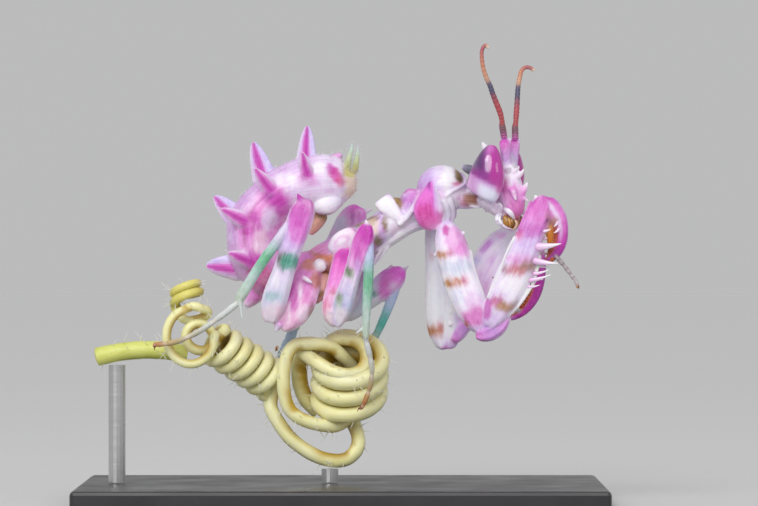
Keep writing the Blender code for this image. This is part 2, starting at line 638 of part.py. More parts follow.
def make_hind_legs():
    """Hind legs: petal coxa, long lobed femur, long thin tibia, tarsus on the tendril."""
    finish = (petal_pink(), leg_green(), tarsus_brown())
    right = make_leg(
        "hind_right", finish,
        coxa=[(-2.02, -1.0, 15.34, 0.80, 0.60), (-2.47, -2.1, 14.17, 1.00, 0.66), (-3.12, -2.8, 12.94,
                                                                                   1.05, 0.62),
              (-3.71, -3.1, 11.89, 0.80, 0.52), (-4.03, -3.1, 11.38, 0.40, 0.36)],
        femur=[(-4.68, -3.5, 11.83, 0.42, 0.36), (-4.36, -3.7, 13.0, 0.90, 0.52), (-3.77, -3.85, 14.69,
                                                                                   0.72, 0.52),
               (-3.38, -3.9, 16.12, 0.66, 0.52), (-2.79, -3.9, 17.81, 0.86, 0.52), (-2.41, -3.85, 19.11,
                                                                                    0.78, 0.46),
               (-2.27, -3.8, 19.7, 0.36, 0.32)],
        tibia=[(-2.67, -4.2, 19.18, 0.28, 0.28), (-3.51, -4.25, 17.81, 0.33, 0.30), (-4.81, -4.2, 15.86,
                                                                                     0.32, 0.28),
               (-5.85, -4.1, 14.17, 0.28, 0.27), (-6.37, -4.0, 13.26, 0.26, 0.26)],
        tarsus=round_rows([(-6.44, -3.95, 13.13), (-7.48, -3.85, 12.29), (-8.64, -3.8, 11.44),
                           (-9.88, -3.8, 10.72),
                           (-11.05, -3.75, 10.34), (-11.96, -3.5, 10.21)], TARSUS_RADIUS),
        spikes=[((-2.54, -3.85, 19.11), (-2.86, -3.85, 20.02), 0.34, 0.28)],
        tibia_spikes=[((-6.04, -4.05, 13.78), (-6.17, -4.15, 12.8), 0.24, 0.22)])
    left = make_leg(
        "hind_left", finish,
        coxa=[(-0.78, 1.0, 15.73, 0.80, 0.60), (-1.24, 2.1, 14.3, 0.96, 0.64), (-1.89, 2.8, 12.87, 0.98,
                                                                                0.60),
              (-2.47, 3.0, 11.83, 0.74, 0.50), (-2.73, 3.0, 11.38, 0.40, 0.36)],
        femur=[(-2.34, 3.35, 11.7, 0.34, 0.34), (-1.69, 3.5, 13.26, 0.80, 0.50), (-0.91, 3.55, 15.08,
                                                                                  0.66, 0.50),
               (-0.26, 3.5, 16.77, 0.70, 0.50), (0.46, 3.4, 18.0, 0.90, 0.50), (0.84, 3.4, 18.66, 0.72,
                                                                                0.44),
               (1.04, 3.4, 19.05, 0.34, 0.32)],
        tibia=[(0.84, 4.15, 18.59, 0.28, 0.28), (0.07, 4.4, 17.23, 0.33, 0.30), (-1.3, 4.45, 14.95, 0.32,
                                                                                 0.28),
               (-2.54, 4.3, 12.8, 0.28, 0.27), (-3.31, 3.9, 11.38, 0.26, 0.26)],
        tarsus=round_rows([(-3.38, 3.8, 11.25), (-3.83, 2.9, 10.53), (-4.16, 1.9, 10.14),
                           (-4.29, 1.35, 9.88)],
                          TARSUS_RADIUS),
        spikes=[((0.98, 3.4, 18.66), (1.95, 3.4, 19.01), 0.34, 0.28), ((0.39, 3.4, 18.2),
                                                                       (-0.26, 3.4, 18.46), 0.34, 0.3)],
        tibia_spikes=[((-3.06, 4.05, 11.89), (-3.64, 4.1, 11.51), 0.24, 0.22)])
    return right, left


# ---------------------------------------------------------------- display stand

def make_stand():
    """Flat base plate, with one rod under the big coil and one under the stem."""
    plate = bmesh.new()
    bmesh.ops.create_cube(plate, size=1.0)
    for vert in plate.verts:
        vert.co = Vector((vert.co.x * BASE_LENGTH, vert.co.y * BASE_WIDTH,
                          (vert.co.z + 0.5) * BASE_HEIGHT)) * MM
    data = bpy.data.meshes.new("stand_base")
    plate.to_mesh(data)
    plate.free()
    base = new_object("stand_base", data, PARTS, stand_black())
    edge = base.modifiers.new("edge", "BEVEL")
    edge.width = BASE_EDGE * MM
    edge.segments = 2
    edge.limit_method = "ANGLE"

    for name, place, top in (("stand_rod_coil", (-0.78, -0.45, 2.93), 2.15), ("stand_rod_stem",
                                                                              (-14.56, -1.1, 9.71), 8.90)):
        bottom = BASE_HEIGHT + GAP
        bpy.ops.mesh.primitive_cylinder_add(vertices=16, radius=ROD_RADIUS * MM, depth=(top - bottom) * MM,
                                            location=(place[0] * MM, place[1] * MM,
                                                      (top + bottom) / 2 * MM))
        rod = bpy.context.object
        rod.name = name
        rod.data.name = name
        rod.data.materials.append(stand_steel())
        for owner in list(rod.users_collection):
            owner.objects.unlink(rod)
        PARTS.objects.link(rod)


# ---------------------------------------------------------------- the whole model

make_tendril()
abdomen = make_abdomen()
thorax = make_thorax()
head = make_head()
fore = make_fore_legs()
middle = make_middle_legs()
hind = make_hind_legs()
make_stand()
make_room(abdomen[0], thorax[0])
make_room(thorax[3], head)
for leg, host in ((fore[0], thorax[2]), (fore[1], thorax[2]), (middle[0], thorax[0]),
                  (middle[0], thorax[1]),
                  (middle[1], thorax[0]), (middle[1], thorax[1]), (hind[0], thorax[0]),
                  (hind[1], thorax[0]),
                  (hind[0], abdomen[0]), (hind[1], abdomen[0])):
    make_room(leg["coxa"], host)
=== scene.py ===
"""Spiny flower mantis nymph, life size, on a coiled tendril and a plain display stand.

The mantis faces +X with its right side towards -Y. Lengths in the sections below are in
millimetres, and MM turns them into metres. Tables of numbers and runs of colours are kept as
text, which table() and ramp() read.
"""
import math
from types import SimpleNamespace

import bpy
import numpy as np
from mathutils import Matrix, Vector, noise


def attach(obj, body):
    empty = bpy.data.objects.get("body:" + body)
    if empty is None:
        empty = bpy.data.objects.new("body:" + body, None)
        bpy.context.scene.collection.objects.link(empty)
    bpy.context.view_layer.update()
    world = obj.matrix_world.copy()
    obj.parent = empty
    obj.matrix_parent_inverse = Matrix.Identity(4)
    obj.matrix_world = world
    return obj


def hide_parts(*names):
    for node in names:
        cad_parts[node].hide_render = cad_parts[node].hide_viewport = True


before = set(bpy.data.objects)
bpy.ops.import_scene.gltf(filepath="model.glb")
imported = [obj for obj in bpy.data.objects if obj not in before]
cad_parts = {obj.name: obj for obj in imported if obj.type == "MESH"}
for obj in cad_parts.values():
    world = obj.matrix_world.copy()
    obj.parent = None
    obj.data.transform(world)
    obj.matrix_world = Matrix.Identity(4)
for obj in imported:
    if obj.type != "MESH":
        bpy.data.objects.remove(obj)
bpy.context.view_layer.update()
MM = 0.001


# ---------------------------------------------------------------- display stand
# Base plate of cast black acrylic, sawn, with its edges sanded and its top satin-polished.
# Two turned stainless rods are pressed into it and carry the tendril.

def finish(name, colour, roughness, **sockets):
    """A new Principled material, with what makes and links its nodes at hand."""
    made = bpy.data.materials.new(name)
    made.use_nodes = True
    tree = made.node_tree
    shader = tree.nodes["Principled BSDF"].inputs
    shader["Base Color"].default_value = (*colour, 1.0)
    shader["Roughness"].default_value = roughness
    for socket, value in sockets.items():
        shader[socket.replace("_", " ")].default_value = value
    return SimpleNamespace(made=made, new=tree.nodes.new, link=tree.links.new, shader=shader)


def stretched(m, vector, stretch):
    """A vector stretched along its axes."""
    mapping = m.new("ShaderNodeMapping")
    mapping.inputs["Scale"].default_value = stretch
    m.link(vector, mapping.inputs["Vector"])
    return mapping.outputs["Vector"]


def place_in(m, stretch=(1, 1, 1)):
    """Object coordinates, stretched."""
    return stretched(m, m.new("ShaderNodeTexCoord").outputs["Object"], stretch)


def grain(m, vector, scale, detail=4.0, roughness=0.55):
    """Noise over a vector."""
    texture = m.new("ShaderNodeTexNoise")
    for socket, value in (("Scale", scale), ("Detail", detail), ("Roughness", roughness)):
        texture.inputs[socket].default_value = value
    m.link(vector, texture.inputs["Vector"])
    return texture.outputs["Fac"]


def spread(m, value, low, high, to_low, to_high):
    """Map a value from one range to another."""
    node = m.new("ShaderNodeMapRange")
    for index, number in enumerate((low, high, to_low, to_high), 1):
        node.inputs[index].default_value = number
    m.link(value, node.inputs[0])
    return node.outputs[0]


def bump(m, height, distance, strength=1.0, under=None):
    """Bump from a height, over another bump if one is given."""
    node = m.new("ShaderNodeBump")
    node.inputs["Distance"].default_value = distance
    node.inputs["Strength"].default_value = strength
    m.link(height, node.inputs["Height"])
    if under is not None:
        m.link(under, node.inputs["Normal"])
    return node.outputs["Normal"]


def mixed(m, factor, first, second, blend="MIX"):
    """One colour laid over another; the factor and each colour is a constant or a socket."""
    mix = m.new("ShaderNodeMix")
    mix.data_type = "RGBA"
    mix.blend_type = blend
    for index, given in ((0, factor), (6, first), (7, second)):
        if isinstance(given, float):
            mix.inputs[index].default_value = given
        elif isinstance(given, tuple):
            mix.inputs[index].default_value = (*given, 1.0)
        else:
            m.link(given, mix.inputs[index])
    return mix.outputs[2]


def dress(m, **sources):
    """Link colour, roughness and bumps to a finish."""
    for socket, source in zip(("Base Color", "Roughness", "Normal"),
                              (sources["colour"], sources.get("roughness"), sources["bumps"])):
        if source is not None:
            m.link(source, m.shader[socket])


def wear(node_name, made):
    """Give a carried-over solid its finish."""
    for slot in bpy.data.objects[node_name].material_slots:
        slot.material = made


m = finish("satin_black_acrylic", (0.022, 0.022, 0.024), 0.3, Specular_IOR_Level=0.5)
where = place_in(m)
haze = grain(m, where, 260.0)
dress(m, colour=mixed(m, haze, (0.016, 0.016, 0.018), (0.030, 0.030, 0.033)),
      roughness=spread(m, haze, 0.3, 0.7, 0.26, 0.42),
      bumps=bump(m, grain(m, where, 4200.0, 2.0), 0.000004, 0.6))
wear("stand_base", m.made)

m = finish("turned_steel", (0.55, 0.55, 0.56), 0.3, Metallic=1.0)
rings = grain(m, place_in(m, (1, 1, 40)), 120.0, 3.0)
dress(m, colour=mixed(m, rings, (0.54, 0.54, 0.55), (0.66, 0.66, 0.66)),
      roughness=spread(m, rings, 0.3, 0.7, 0.26, 0.36), bumps=bump(m, rings, 0.000004, 0.5))
wear("stand_rod_coil", m.made)
wear("stand_rod_stem", m.made)


# ---------------------------------------------------------------- tendril
# Living tendril of a climber, cut off with a length of its stem. It is smooth, fleshy and
# faintly ribbed, wound into a tip coil, a spring, and a big coil with a loop at its side.

def table(text):
    """Rows of numbers, set apart by slashes; a list of rows is left as it is."""
    if not isinstance(text, str):
        return text
    return [tuple(float(number) for number in row.split()) for row in text.split("/")]


def smooth_path(points, count):
    """Catmull-Rom curve through the points; every column of a point is carried along."""
    knots = [tuple(p) for p in table(points)]
    knots = [knots[0]] + knots + [knots[-1]]
    spans = len(knots) - 3
    path = []
    for step in range(count):
        place = step / (count - 1) * spans
        index = min(int(place), spans - 1)
        t = place - index
        path.append(tuple(0.5 * (2 * q + (r - p) * t + (2 * p - 5 * q + 4 * r - s) * t * t
                                 + (3 * q - p - 3 * r + s) * t ** 3)
                          for p, q, r, s in zip(*knots[index:index + 4])))
    return path


def loop(centre, across, depth, start, turns, rise=(0, 0, 0), steps=12):
    """Points round a tilted ring that climbs by rise each turn; angles are in turns."""
    points = []
    count = max(int(steps * turns), 2)
    for step in range(count + 1):
        part = step / count * turns
        angle = 2 * math.pi * (start + part)
        points.append(Vector(centre) + Vector(across) * math.cos(angle)
                      + Vector(depth) * math.sin(angle) + Vector(rise) * part)
    return points


def link(first, last, pull=0.9, count=4):
    """Inner points of a smooth bridge between two runs of points."""
    p0, p3 = Vector(first[-1]), Vector(last[0])
    reach = (p3 - p0).length * pull / 2
    p1 = p0 + (p0 - Vector(first[-2])).normalized() * reach
    p2 = p3 - (Vector(last[1]) - p3).normalized() * reach
    bridge = []
    for step in range(1, count + 1):
        t = step / (count + 1)
        bridge.append(p0 * (1 - t) ** 3 + 3 * p1 * t * (1 - t) ** 2
                      + 3 * p2 * t * t * (1 - t) + p3 * t ** 3)
    return bridge


def only(*objects):
    """Select these objects alone, the first one active."""
    bpy.ops.object.select_all(action="DESELECT")
    for obj in objects:
        obj.select_set(True)
    bpy.context.view_layer.objects.active = objects[0]


strand_lines = []       # centre lines and radii of the tendril, for its hairs


# The olive yellow is painted shade for the insides of the tendril's bends; the cream yellow is the tendril's
# own colour.
PALETTE = {"cream_yellow": "eeeab6", "olive_yellow": "b6962e"}


def hue(colour):
    """A colour of the palette, or one read off a swatch as red, green and blue, made linear."""
    return np.array([c / 255 / 12.92 if c <= 10 else ((c / 255 + 0.055) / 1.055) ** 2.4
                     for c in bytes.fromhex(PALETTE.get(colour, colour))])


def stain(obj, tint):
    """Keep a colour for every point of a piece: its own colours, with any painted light and shade."""
    colours = np.ones((len(tint), 4), dtype=np.float32)
    colours[:, :3] = tint
    pigment = obj.data.attributes.new("pigment", "FLOAT_COLOR", "POINT")
    pigment.data.foreach_set("color", colours.ravel())
    return colours


def mount(piece, made, slot, *nodes):
    """Give a piece its finish and put it on the model, for the solids that it replaces."""
    piece.data.materials.clear()
    piece.data.materials.append(made)
    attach(piece, "root")
    if nodes:
        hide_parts(*nodes)


def in_edit_mode(*steps):
    """Run mesh steps on the whole of the active object, then turn its faces outwards."""
    bpy.ops.object.mode_set(mode="EDIT")
    bpy.ops.mesh.select_all(action="SELECT")
    for each in steps:
        each()
    bpy.ops.mesh.select_all(action="SELECT")
    bpy.ops.mesh.normals_make_consistent(inside=False)
    bpy.ops.object.mode_set(mode="OBJECT")


def strand(name, node, points, radius, outer, inner, taper=lambda t: 1.0, fine=4):
    """A strand drawn as a curve with a round section, made a mesh with closed ends.

    It is the outer colour outside its bends and the inner one inside them; the inner colour is painted shade
    in the hollows of the bends.
    """
    path = [Vector(p) for p in smooth_path(points, fine * len(table(points)))]
    swell = [taper(index / (len(path) - 1)) for index in range(len(path))]
    bpy.ops.curve.primitive_nurbs_path_add()
    guide = bpy.context.object
    guide.data.splines.clear()
    spline = guide.data.splines.new("POLY")
    spline.points.add(len(path) - 1)
    for point, place, width in zip(spline.points, path, swell):
        point.co = (*(place * MM), 1.0)
        point.radius = width * (1.0 + 0.035 * noise.noise(place * 1.3))
    guide.data.dimensions = "3D"
    guide.data.bevel_depth = radius * MM
    guide.data.bevel_resolution = 6
    guide.data.use_fill_caps = True
    only(guide)
    bpy.ops.object.convert(target="MESH")
    piece = bpy.context.object
    piece.name = name
    bpy.ops.object.transform_apply(location=True, rotation=True, scale=True)
    in_edit_mode(lambda: bpy.ops.mesh.remove_doubles(threshold=0.002 * MM))
    bpy.ops.object.shade_smooth_by_angle(angle=math.radians(50))
    strand_lines.append((path, [radius * width for width in swell]))
    line = np.array([p[:] for p in path])
    surface = np.array([v.co[:] for v in piece.data.vertices]) / MM
    nearest = np.concatenate([((part[:, None] - line[None]) ** 2).sum(axis=2).argmin(axis=1)
                              for part in np.array_split(surface, 12)])
    pace = np.linalg.norm(np.gradient(line, axis=0), axis=1)[:, None]
    bend = np.gradient(np.gradient(line, axis=0) / pace, axis=0) / pace
    curve = np.linalg.norm(bend, axis=1)[:, None]
    inward = (bend / np.maximum(curve, 1e-6) * np.clip(curve / 0.3, 0, 1))[nearest]
    depth = ((surface - line[nearest]) * inward).sum(axis=1) / radius
    patchy = np.array([noise.noise(Vector(p) * 0.8) for p in surface])
    # Painted shade: the inner colour deepens the further a point lies on the inside of a bend.
    shade = np.clip(depth + 0.35 * patchy + 0.15, 0, 1)[:, None]
    stain(piece, hue(outer) * (1 - shade) + hue(inner) * shade)
    mount(piece, tendril_skin, "tendril", *([node] if node else []))


def attribute(m, name):
    """A colour kept on the piece's points."""
    node = m.new("ShaderNodeAttribute")
    node.attribute_name = name
    return node.outputs["Color"]


def cells(m, vector, scale):
    """Distance from the middles of small cells."""
    texture = m.new("ShaderNodeTexVoronoi")
    texture.inputs["Scale"].default_value = scale
    m.link(vector, texture.inputs["Vector"])
    return texture.outputs["Distance"]


def calc(m, operation, *terms):
    """Arithmetic on values; each term is a number or a socket."""
    node = m.new("ShaderNodeMath")
    node.operation = operation
    for socket, term in zip(node.inputs, terms):
        if isinstance(term, float):
            socket.default_value = term
        else:
            m.link(term, socket)
    return node.outputs[0]


m = finish("tendril_skin", (0.80, 0.76, 0.34), 0.4, Subsurface_Weight=0.35, Subsurface_Scale=0.0006,
           Subsurface_Radius=(1.0, 0.9, 0.25), Specular_IOR_Level=0.45,
           Coat_Weight=0.12, Coat_Roughness=0.35)
tendril_skin = m.made
where = place_in(m)
streaks = grain(m, stretched(m, m.new("ShaderNodeUVMap").outputs["UV"], (1.0, 14.0, 1.0)), 5.0, 5.0, 0.6)
clouds = grain(m, where, 420.0, 3.0)
fine = grain(m, where, 9000.0, 3.0)
blend = calc(m, "MULTIPLY_ADD", streaks, 0.55, calc(m, "MULTIPLY", clouds, 0.45))
tone = mixed(m, spread(m, blend, 0.36, 0.64, 0.0, 1.0), (0.24, 0.22, 0.12), (0.80, 0.80, 0.78))
scars = calc(m, "MULTIPLY", spread(m, cells(m, where, 1500.0), 0.06, 0.13, 1.0, 0.0),
             spread(m, grain(m, where, 700.0, 1.0), 0.54, 0.60, 0.0, 0.8))
tone = mixed(m, 0.8, attribute(m, "pigment"), tone, "SOFT_LIGHT")
dress(m, colour=mixed(m, scars, tone, (0.20, 0.11, 0.03)),
      roughness=spread(m, fine, 0.3, 0.7, 0.34, 0.50),
      bumps=bump(m, fine, 0.000006, 0.5, bump(m, streaks, 0.00003, 0.6)))

STEM_RADIUS = 0.60
SPRING_RADIUS = 0.40
STACK_RADIUS = 0.53
TIP_RADIUS = 0.27

strand("tendril_cut_stem", "tendril_stem",
       "-15.86 -1.1 9.43 / -14.3 -1.1 9.75 / -12.74 -1.1 9.88 / -11.38 -1.1 9.81 / -10.01 -1 9.62",
       STEM_RADIUS, "d8dc80", "babe50", lambda t: 1.0 - 0.06 * t, 10)

tip_coil = loop((-10.11, -1.5, 14.01), (0.81, 0.0, 0.2), (0.0, -0.85, 0.16), 0.0, 1.5,
                rise=(0.1, 0.0, -0.55), steps=11)
stalk_end = [Vector((-10.79, -1.15, 12.8)), Vector((-10.6, -1.3, 12.16))]
strand("tendril_tip", "tendril_tip_coil", tip_coil + link(tip_coil, stalk_end, 0.8, 2) + stalk_end,
       TIP_RADIUS, "dcd47c", "a0902c", lambda t: 0.94 + 0.30 * t, 5)

crown = smooth_path("""
    -10.63 -1.3 12.29 / -10.14 -1.8 11.83 / -9.29 -2 11.89 / -8.55 -2.4 12.29 / -9.1 -2.9 12.61""", 7)
outer = loop((-9.72, -2.85, 10.79), (1.55, 0.0, 0.0), (0.0, 0.0, 1.79), 0.28, 0.72, steps=12)
inner = loop((-9.23, -2.55, 10.6), (0.94, 0.3, -0.2), (0.2, 0.0, 0.91), 0.08, 0.92, steps=11,
             rise=(0.33, 0.5, 0.26))
axis_step = Vector((0.67, 0.38, -0.46))
ring_a = Vector((0.65, 0.0, 0.88))
ring_b = ring_a.cross(axis_step).normalized() * ring_a.length
spring = loop((-8.19, -1.75, 10.34), ring_a, ring_b, 0.0, 5.6, rise=axis_step, steps=10)
strand("tendril_wiry_spring", "tendril_spring",
       crown + link(crown, outer, 1.0, 2) + outer + link(outer, inner, 0.9, 3) + inner
       + link(inner, spring, 0.7, 2) + spring, SPRING_RADIUS, "cream_yellow", "olive_yellow",
       lambda t: float(np.interp(t, (0.0, 0.2, 0.34, 0.42, 1.0), (0.72, 0.74, 0.84, 1.0, 1.02))))

bottom = smooth_path("""
    -3.9 1.1 8.52 / -4.36 .6 7.54 / -4.65 .1 6.5 / -4.42 -.15 5.66 / -3.31 -.4 4.09 / -1.56 -.45 2.93 /
    .07 -.4 2.7 / .98 -.2 3.45 / .98 .5 4.49 / .46 1.3 5.46""", 17)
ring = loop((0.42, 0.5, 6.34), (2.02, 0.0, 0.0), (0.0, 1.5, 1.17), 0.28, 2.97, steps=11,
            rise=(0.05, -0.36, 1.06))
crown = smooth_path("""
    -2.02 .75 9.69 / -2.67 -.2 9.85 / -1.95 -1 9.29 / -.78 -1.65 8.58 / .2 -1.8 8.29 / 1.1 -1.45 8.45 /
    1.56 -1.05 9.1 / 1.46 -.7 9.88 / .94 -.4 10.37 / .2 -.15 10.53 / -.58 .2 10.4 / -1.1 .6 10.11""", 16)
strand("tendril_big_coil", "tendril_stack",
       bottom + link(bottom, ring, 0.8, 3) + ring + link(ring, crown, 0.9, 4) + crown, STACK_RADIUS,
       "cream_yellow", "olive_yellow",
       lambda t: float(np.interp(t, (0.0, 0.22, 0.32, 0.70, 0.8, 1.0), (0.86, 0.88, 1.0, 1.0, 0.90, 0.74))))
strand("tendril_back_turn", None,
       smooth_path("-2.47 .2 9.75 / -2.76 .7 8.84 / -2.73 1 7.67 / -2.34 1.2 6.63 / -1.56 1.4 5.85", 9),
       STACK_RADIUS, "cream_yellow", "olive_yellow")

strand("tendril_loop", "tendril_side_loop",
       smooth_path("""
           .91 .9 8.38 / .46 .35 8.97 / -.07 -.2 9.55 / -.84 -.6 10.08 / -2.15 -1.15 10.3 /
           -3.19 -1.35 10.08 / -3.64 -1.4 9.1 / -3.77 -1.35 7.67 / -3.51 -1.2 6.24 / -2.73 -1.2 5.46 /
           -1.76 -1 5.1 / -.91 -.7 4.94 / -.33 -.2 4.94 / .26 .5 5.27""", 20),
       STACK_RADIUS * 0.82, "cream_yellow", "olive_yellow")


# ---------------------------------------------------------------- abdomen
# Soft abdomen curled up over the back, its underside outwards. Each ring of the underside
# carries a tall flat-sided blade and a shorter one on each flank, all hollow cuticle.

PALETTE.update(
    white="f6f2fa", pale="e9dcf3", lilac="d6baea", mauve="c896d6", pink="e084ce", magenta="c434aa",
    purple="882c8c", rose="d64a84", bluish="bcc8e6", teal="54a088", olive="80682c", brown="b26846",
    rust="c45c3e", cream="e2d0aa")
SIDES = (("right", 1), ("left", -1))
forms = []              # closed shapes that the skin is drawn over, each with its colouring and relief


def frames_along(centres, hint):
    """Width, thickness and forward directions at each centre."""
    turned = []
    last = len(centres) - 1
    for i in range(len(centres)):
        forward = (centres[min(i + 1, last)] - centres[max(i - 1, 0)]).normalized()
        wide = hint.cross(forward).normalized()
        turned.append(Matrix((wide, forward.cross(wide).normalized(), forward)).transposed())
    return turned


def reshape(obj, kind, **settings):
    """Put an object through a modifier."""
    only(obj)
    modifier = obj.modifiers.new(kind, kind)
    for setting, value in settings.items():
        setattr(modifier, setting, value)
    bpy.ops.object.modifier_apply(modifier=kind)


def grow(name, stations, sides=14, hint=(0, 1, 0), dome=0.45, level=2, pinch=1.0):
    """Extrude a ring through stations of x, y, z, half width and half thickness, and smooth it.

    Every point keeps where it lies: along, across and facing. pinch under 1 sharpens the rim.
    """
    swell = 6.0 / (4.0 + 2.0 * math.cos(2.0 * math.pi / sides))     # smoothing draws a ring in by this much
    rings = [(*s[:3], s[3] * swell, s[4] * swell) for s in table(stations)]
    if dome:
        ends = []
        for end, beside in ((rings[0], rings[1]), (rings[-1], rings[-2])):
            at = Vector(end[:3])
            out = (at - Vector(beside[:3])).normalized() * dome * min(end[3:5])
            ends.append((*(at + out), end[3] * 0.62, end[4] * 0.62))
        rings = [ends[0], *rings, ends[1]]
    centres = [Vector(ring[:3]) * MM for ring in rings]
    turned = frames_along(centres, Vector(hint))
    bpy.ops.object.select_all(action="DESELECT")
    bpy.ops.mesh.primitive_circle_add(vertices=sides, radius=MM, fill_type="NGON", location=centres[0],
                                      rotation=turned[0].to_euler())
    obj = bpy.context.object
    obj.name = name

    def draw_out():
        wide = thick = 1.0
        for i, ring in enumerate(rings):
            if i:
                onward = centres[i] - centres[i - 1]
                bpy.ops.mesh.extrude_region_move(TRANSFORM_OT_translate={"value": onward})
                turn = turned[i] @ turned[i - 1].transposed()
                for axis, angle in zip("XYZ", turn.to_euler()):
                    if abs(angle) > 1e-5:
                        bpy.ops.transform.rotate(value=-angle, orient_axis=axis, center_override=centres[i])
            bpy.ops.transform.resize(value=(ring[3] / wide, ring[4] / thick, 1), orient_type="GLOBAL",
                                     orient_matrix=turned[i], orient_matrix_type="GLOBAL",
                                     center_override=centres[i])
            wide, thick = ring[3:5]

    in_edit_mode(draw_out)
    bpy.ops.object.transform_apply(location=True, rotation=True, scale=True)
    lies = obj.data.attributes.new("lies", "FLOAT_COLOR", "POINT")
    for index, vertex in enumerate(obj.data.vertices):
        i = index // sides
        local = turned[i].transposed() @ (vertex.co - centres[i]) / MM
        across, facing = local.x / rings[i][3], local.y / rings[i][4]
        if pinch != 1.0:
            squeezed = facing * abs(facing) ** (1.0 / pinch - 1.0)
            vertex.co = centres[i] + turned[i] @ Vector((local.x, squeezed * rings[i][4], 0)) * MM
        lies.data[index].color = (i / (len(rings) - 1), across * 0.5 + 0.5, facing * 0.5 + 0.5, 1.0)
    reshape(obj, "SUBSURF", levels=level, render_levels=level)
    return obj


def form(name, stations, colouring, relief=None, **shape):
    """A shape of flesh for the skin to be drawn over, with the functions that colour and raise it."""
    forms.append((grow(name, stations, **shape), colouring, relief))


def sided(text, side):
    """A table of places on the right, mirrored to the left where side is -1."""
    return [(x, y * side, *more) for x, y, *more in table(text)]


def taper_off(root, tip, widths, bow=(0, 0, 0)):
    """Places along a bowed line with the share of its width at each."""
    for t, share in table(widths):
        yield Vector(root).lerp(Vector(tip), t) + Vector(bow) * (4 * t * (1 - t)), share


def blade(name, root, tip, width, thickness, colouring, relief=None,
          hint=(0, 1, 0), lean=(0, 0, 0), leaf=1.0):
    """A pointed spine: broad at its root and sharp at its tip. leaf under 1 makes its sides fuller."""
    form(name, [(*place, max(width * w ** leaf, 0.07), max(thickness * w, 0.07)) for place, w in taper_off(
        root, tip, "-.12 1.35 / .1 1.12 / .34 .9 / .6 .68 / .8 .4 / .95 .14", lean)],
         colouring, relief, sides=8, hint=hint, dome=0.5)


def rim(name, points, radius, colouring, count=12):
    """A raised edge laid along a shape."""
    form(name, [(*p, radius, radius) for p in smooth_path(points, count)], colouring, sides=6, level=1)


# Colouring works on s, which has arrays: along, across, facing, place (mm) and noises n1 to n3.

def ramp(t, stops):
    """Colours run between stops, given as text: a place and a colour for each."""
    stops = stops.split()
    places = [float(place) for place in stops[::2]]
    return np.stack([np.interp(t, places, channel) for channel in zip(*map(hue, stops[1::2]))], axis=1)


def step(value, low, high):
    """Smooth step from 0 at low to 1 at high."""
    t = np.clip((value - low) / (high - low), 0, 1)
    return t * t * (3 - 2 * t)


def tinge(tint, colour, weight):
    """Mix a colour in by weight."""
    w = np.clip(weight, 0, 1)[:, None]
    return tint * (1 - w) + hue(colour) * w


def ridge(value, centre, width):
    """A bell round centre."""
    return np.exp(-((value - centre) / width) ** 2)


def joints(s, number, width):
    """Rings across a length, number of them, evenly set."""
    return ridge((s.along * number) % 1.0, 0.5, width)


def dab(s, centre, radii, wobble=0.30, both=True):
    """Weight of a soft-edged spot, on both sides of the body or on one."""
    gap = s.place.copy()
    if both:
        gap[:, 1] = -np.abs(gap[:, 1])
    away = np.sqrt((((gap - np.array(centre)) / np.array(radii)) ** 2).sum(axis=1))
    return step(away + wobble * (s.n2 + 0.7 * s.n3), 1.12, 0.74)


def dabs(tint, s, text, both=True):
    """Lay soft spots over a tint, each given by its place, three radii, colour and weight."""
    for row in text.split("/"):
        *numbers, colour, weight = row.split()
        numbers = [float(number) for number in numbers]
        tint = tinge(tint, colour, dab(s, numbers[:3], numbers[3:], both=both) * float(weight))
    return tint


RINGS = (0.27, 0.375, 0.46, 0.55, 0.645, 0.74, 0.83, 0.90)      # where the abdomen's rings meet


def pleats(s):
    """Weight of the red creases that cross the base of the abdomen."""
    beside = s.place @ np.array((0.565, 0.0, -0.825))
    return np.clip(np.cos(beside * 12.0 + 1.5 * s.n2), 0, 1) * dab(s, (-5.07, -1.8, 14.11), (1.5, 1.9, 1.5))


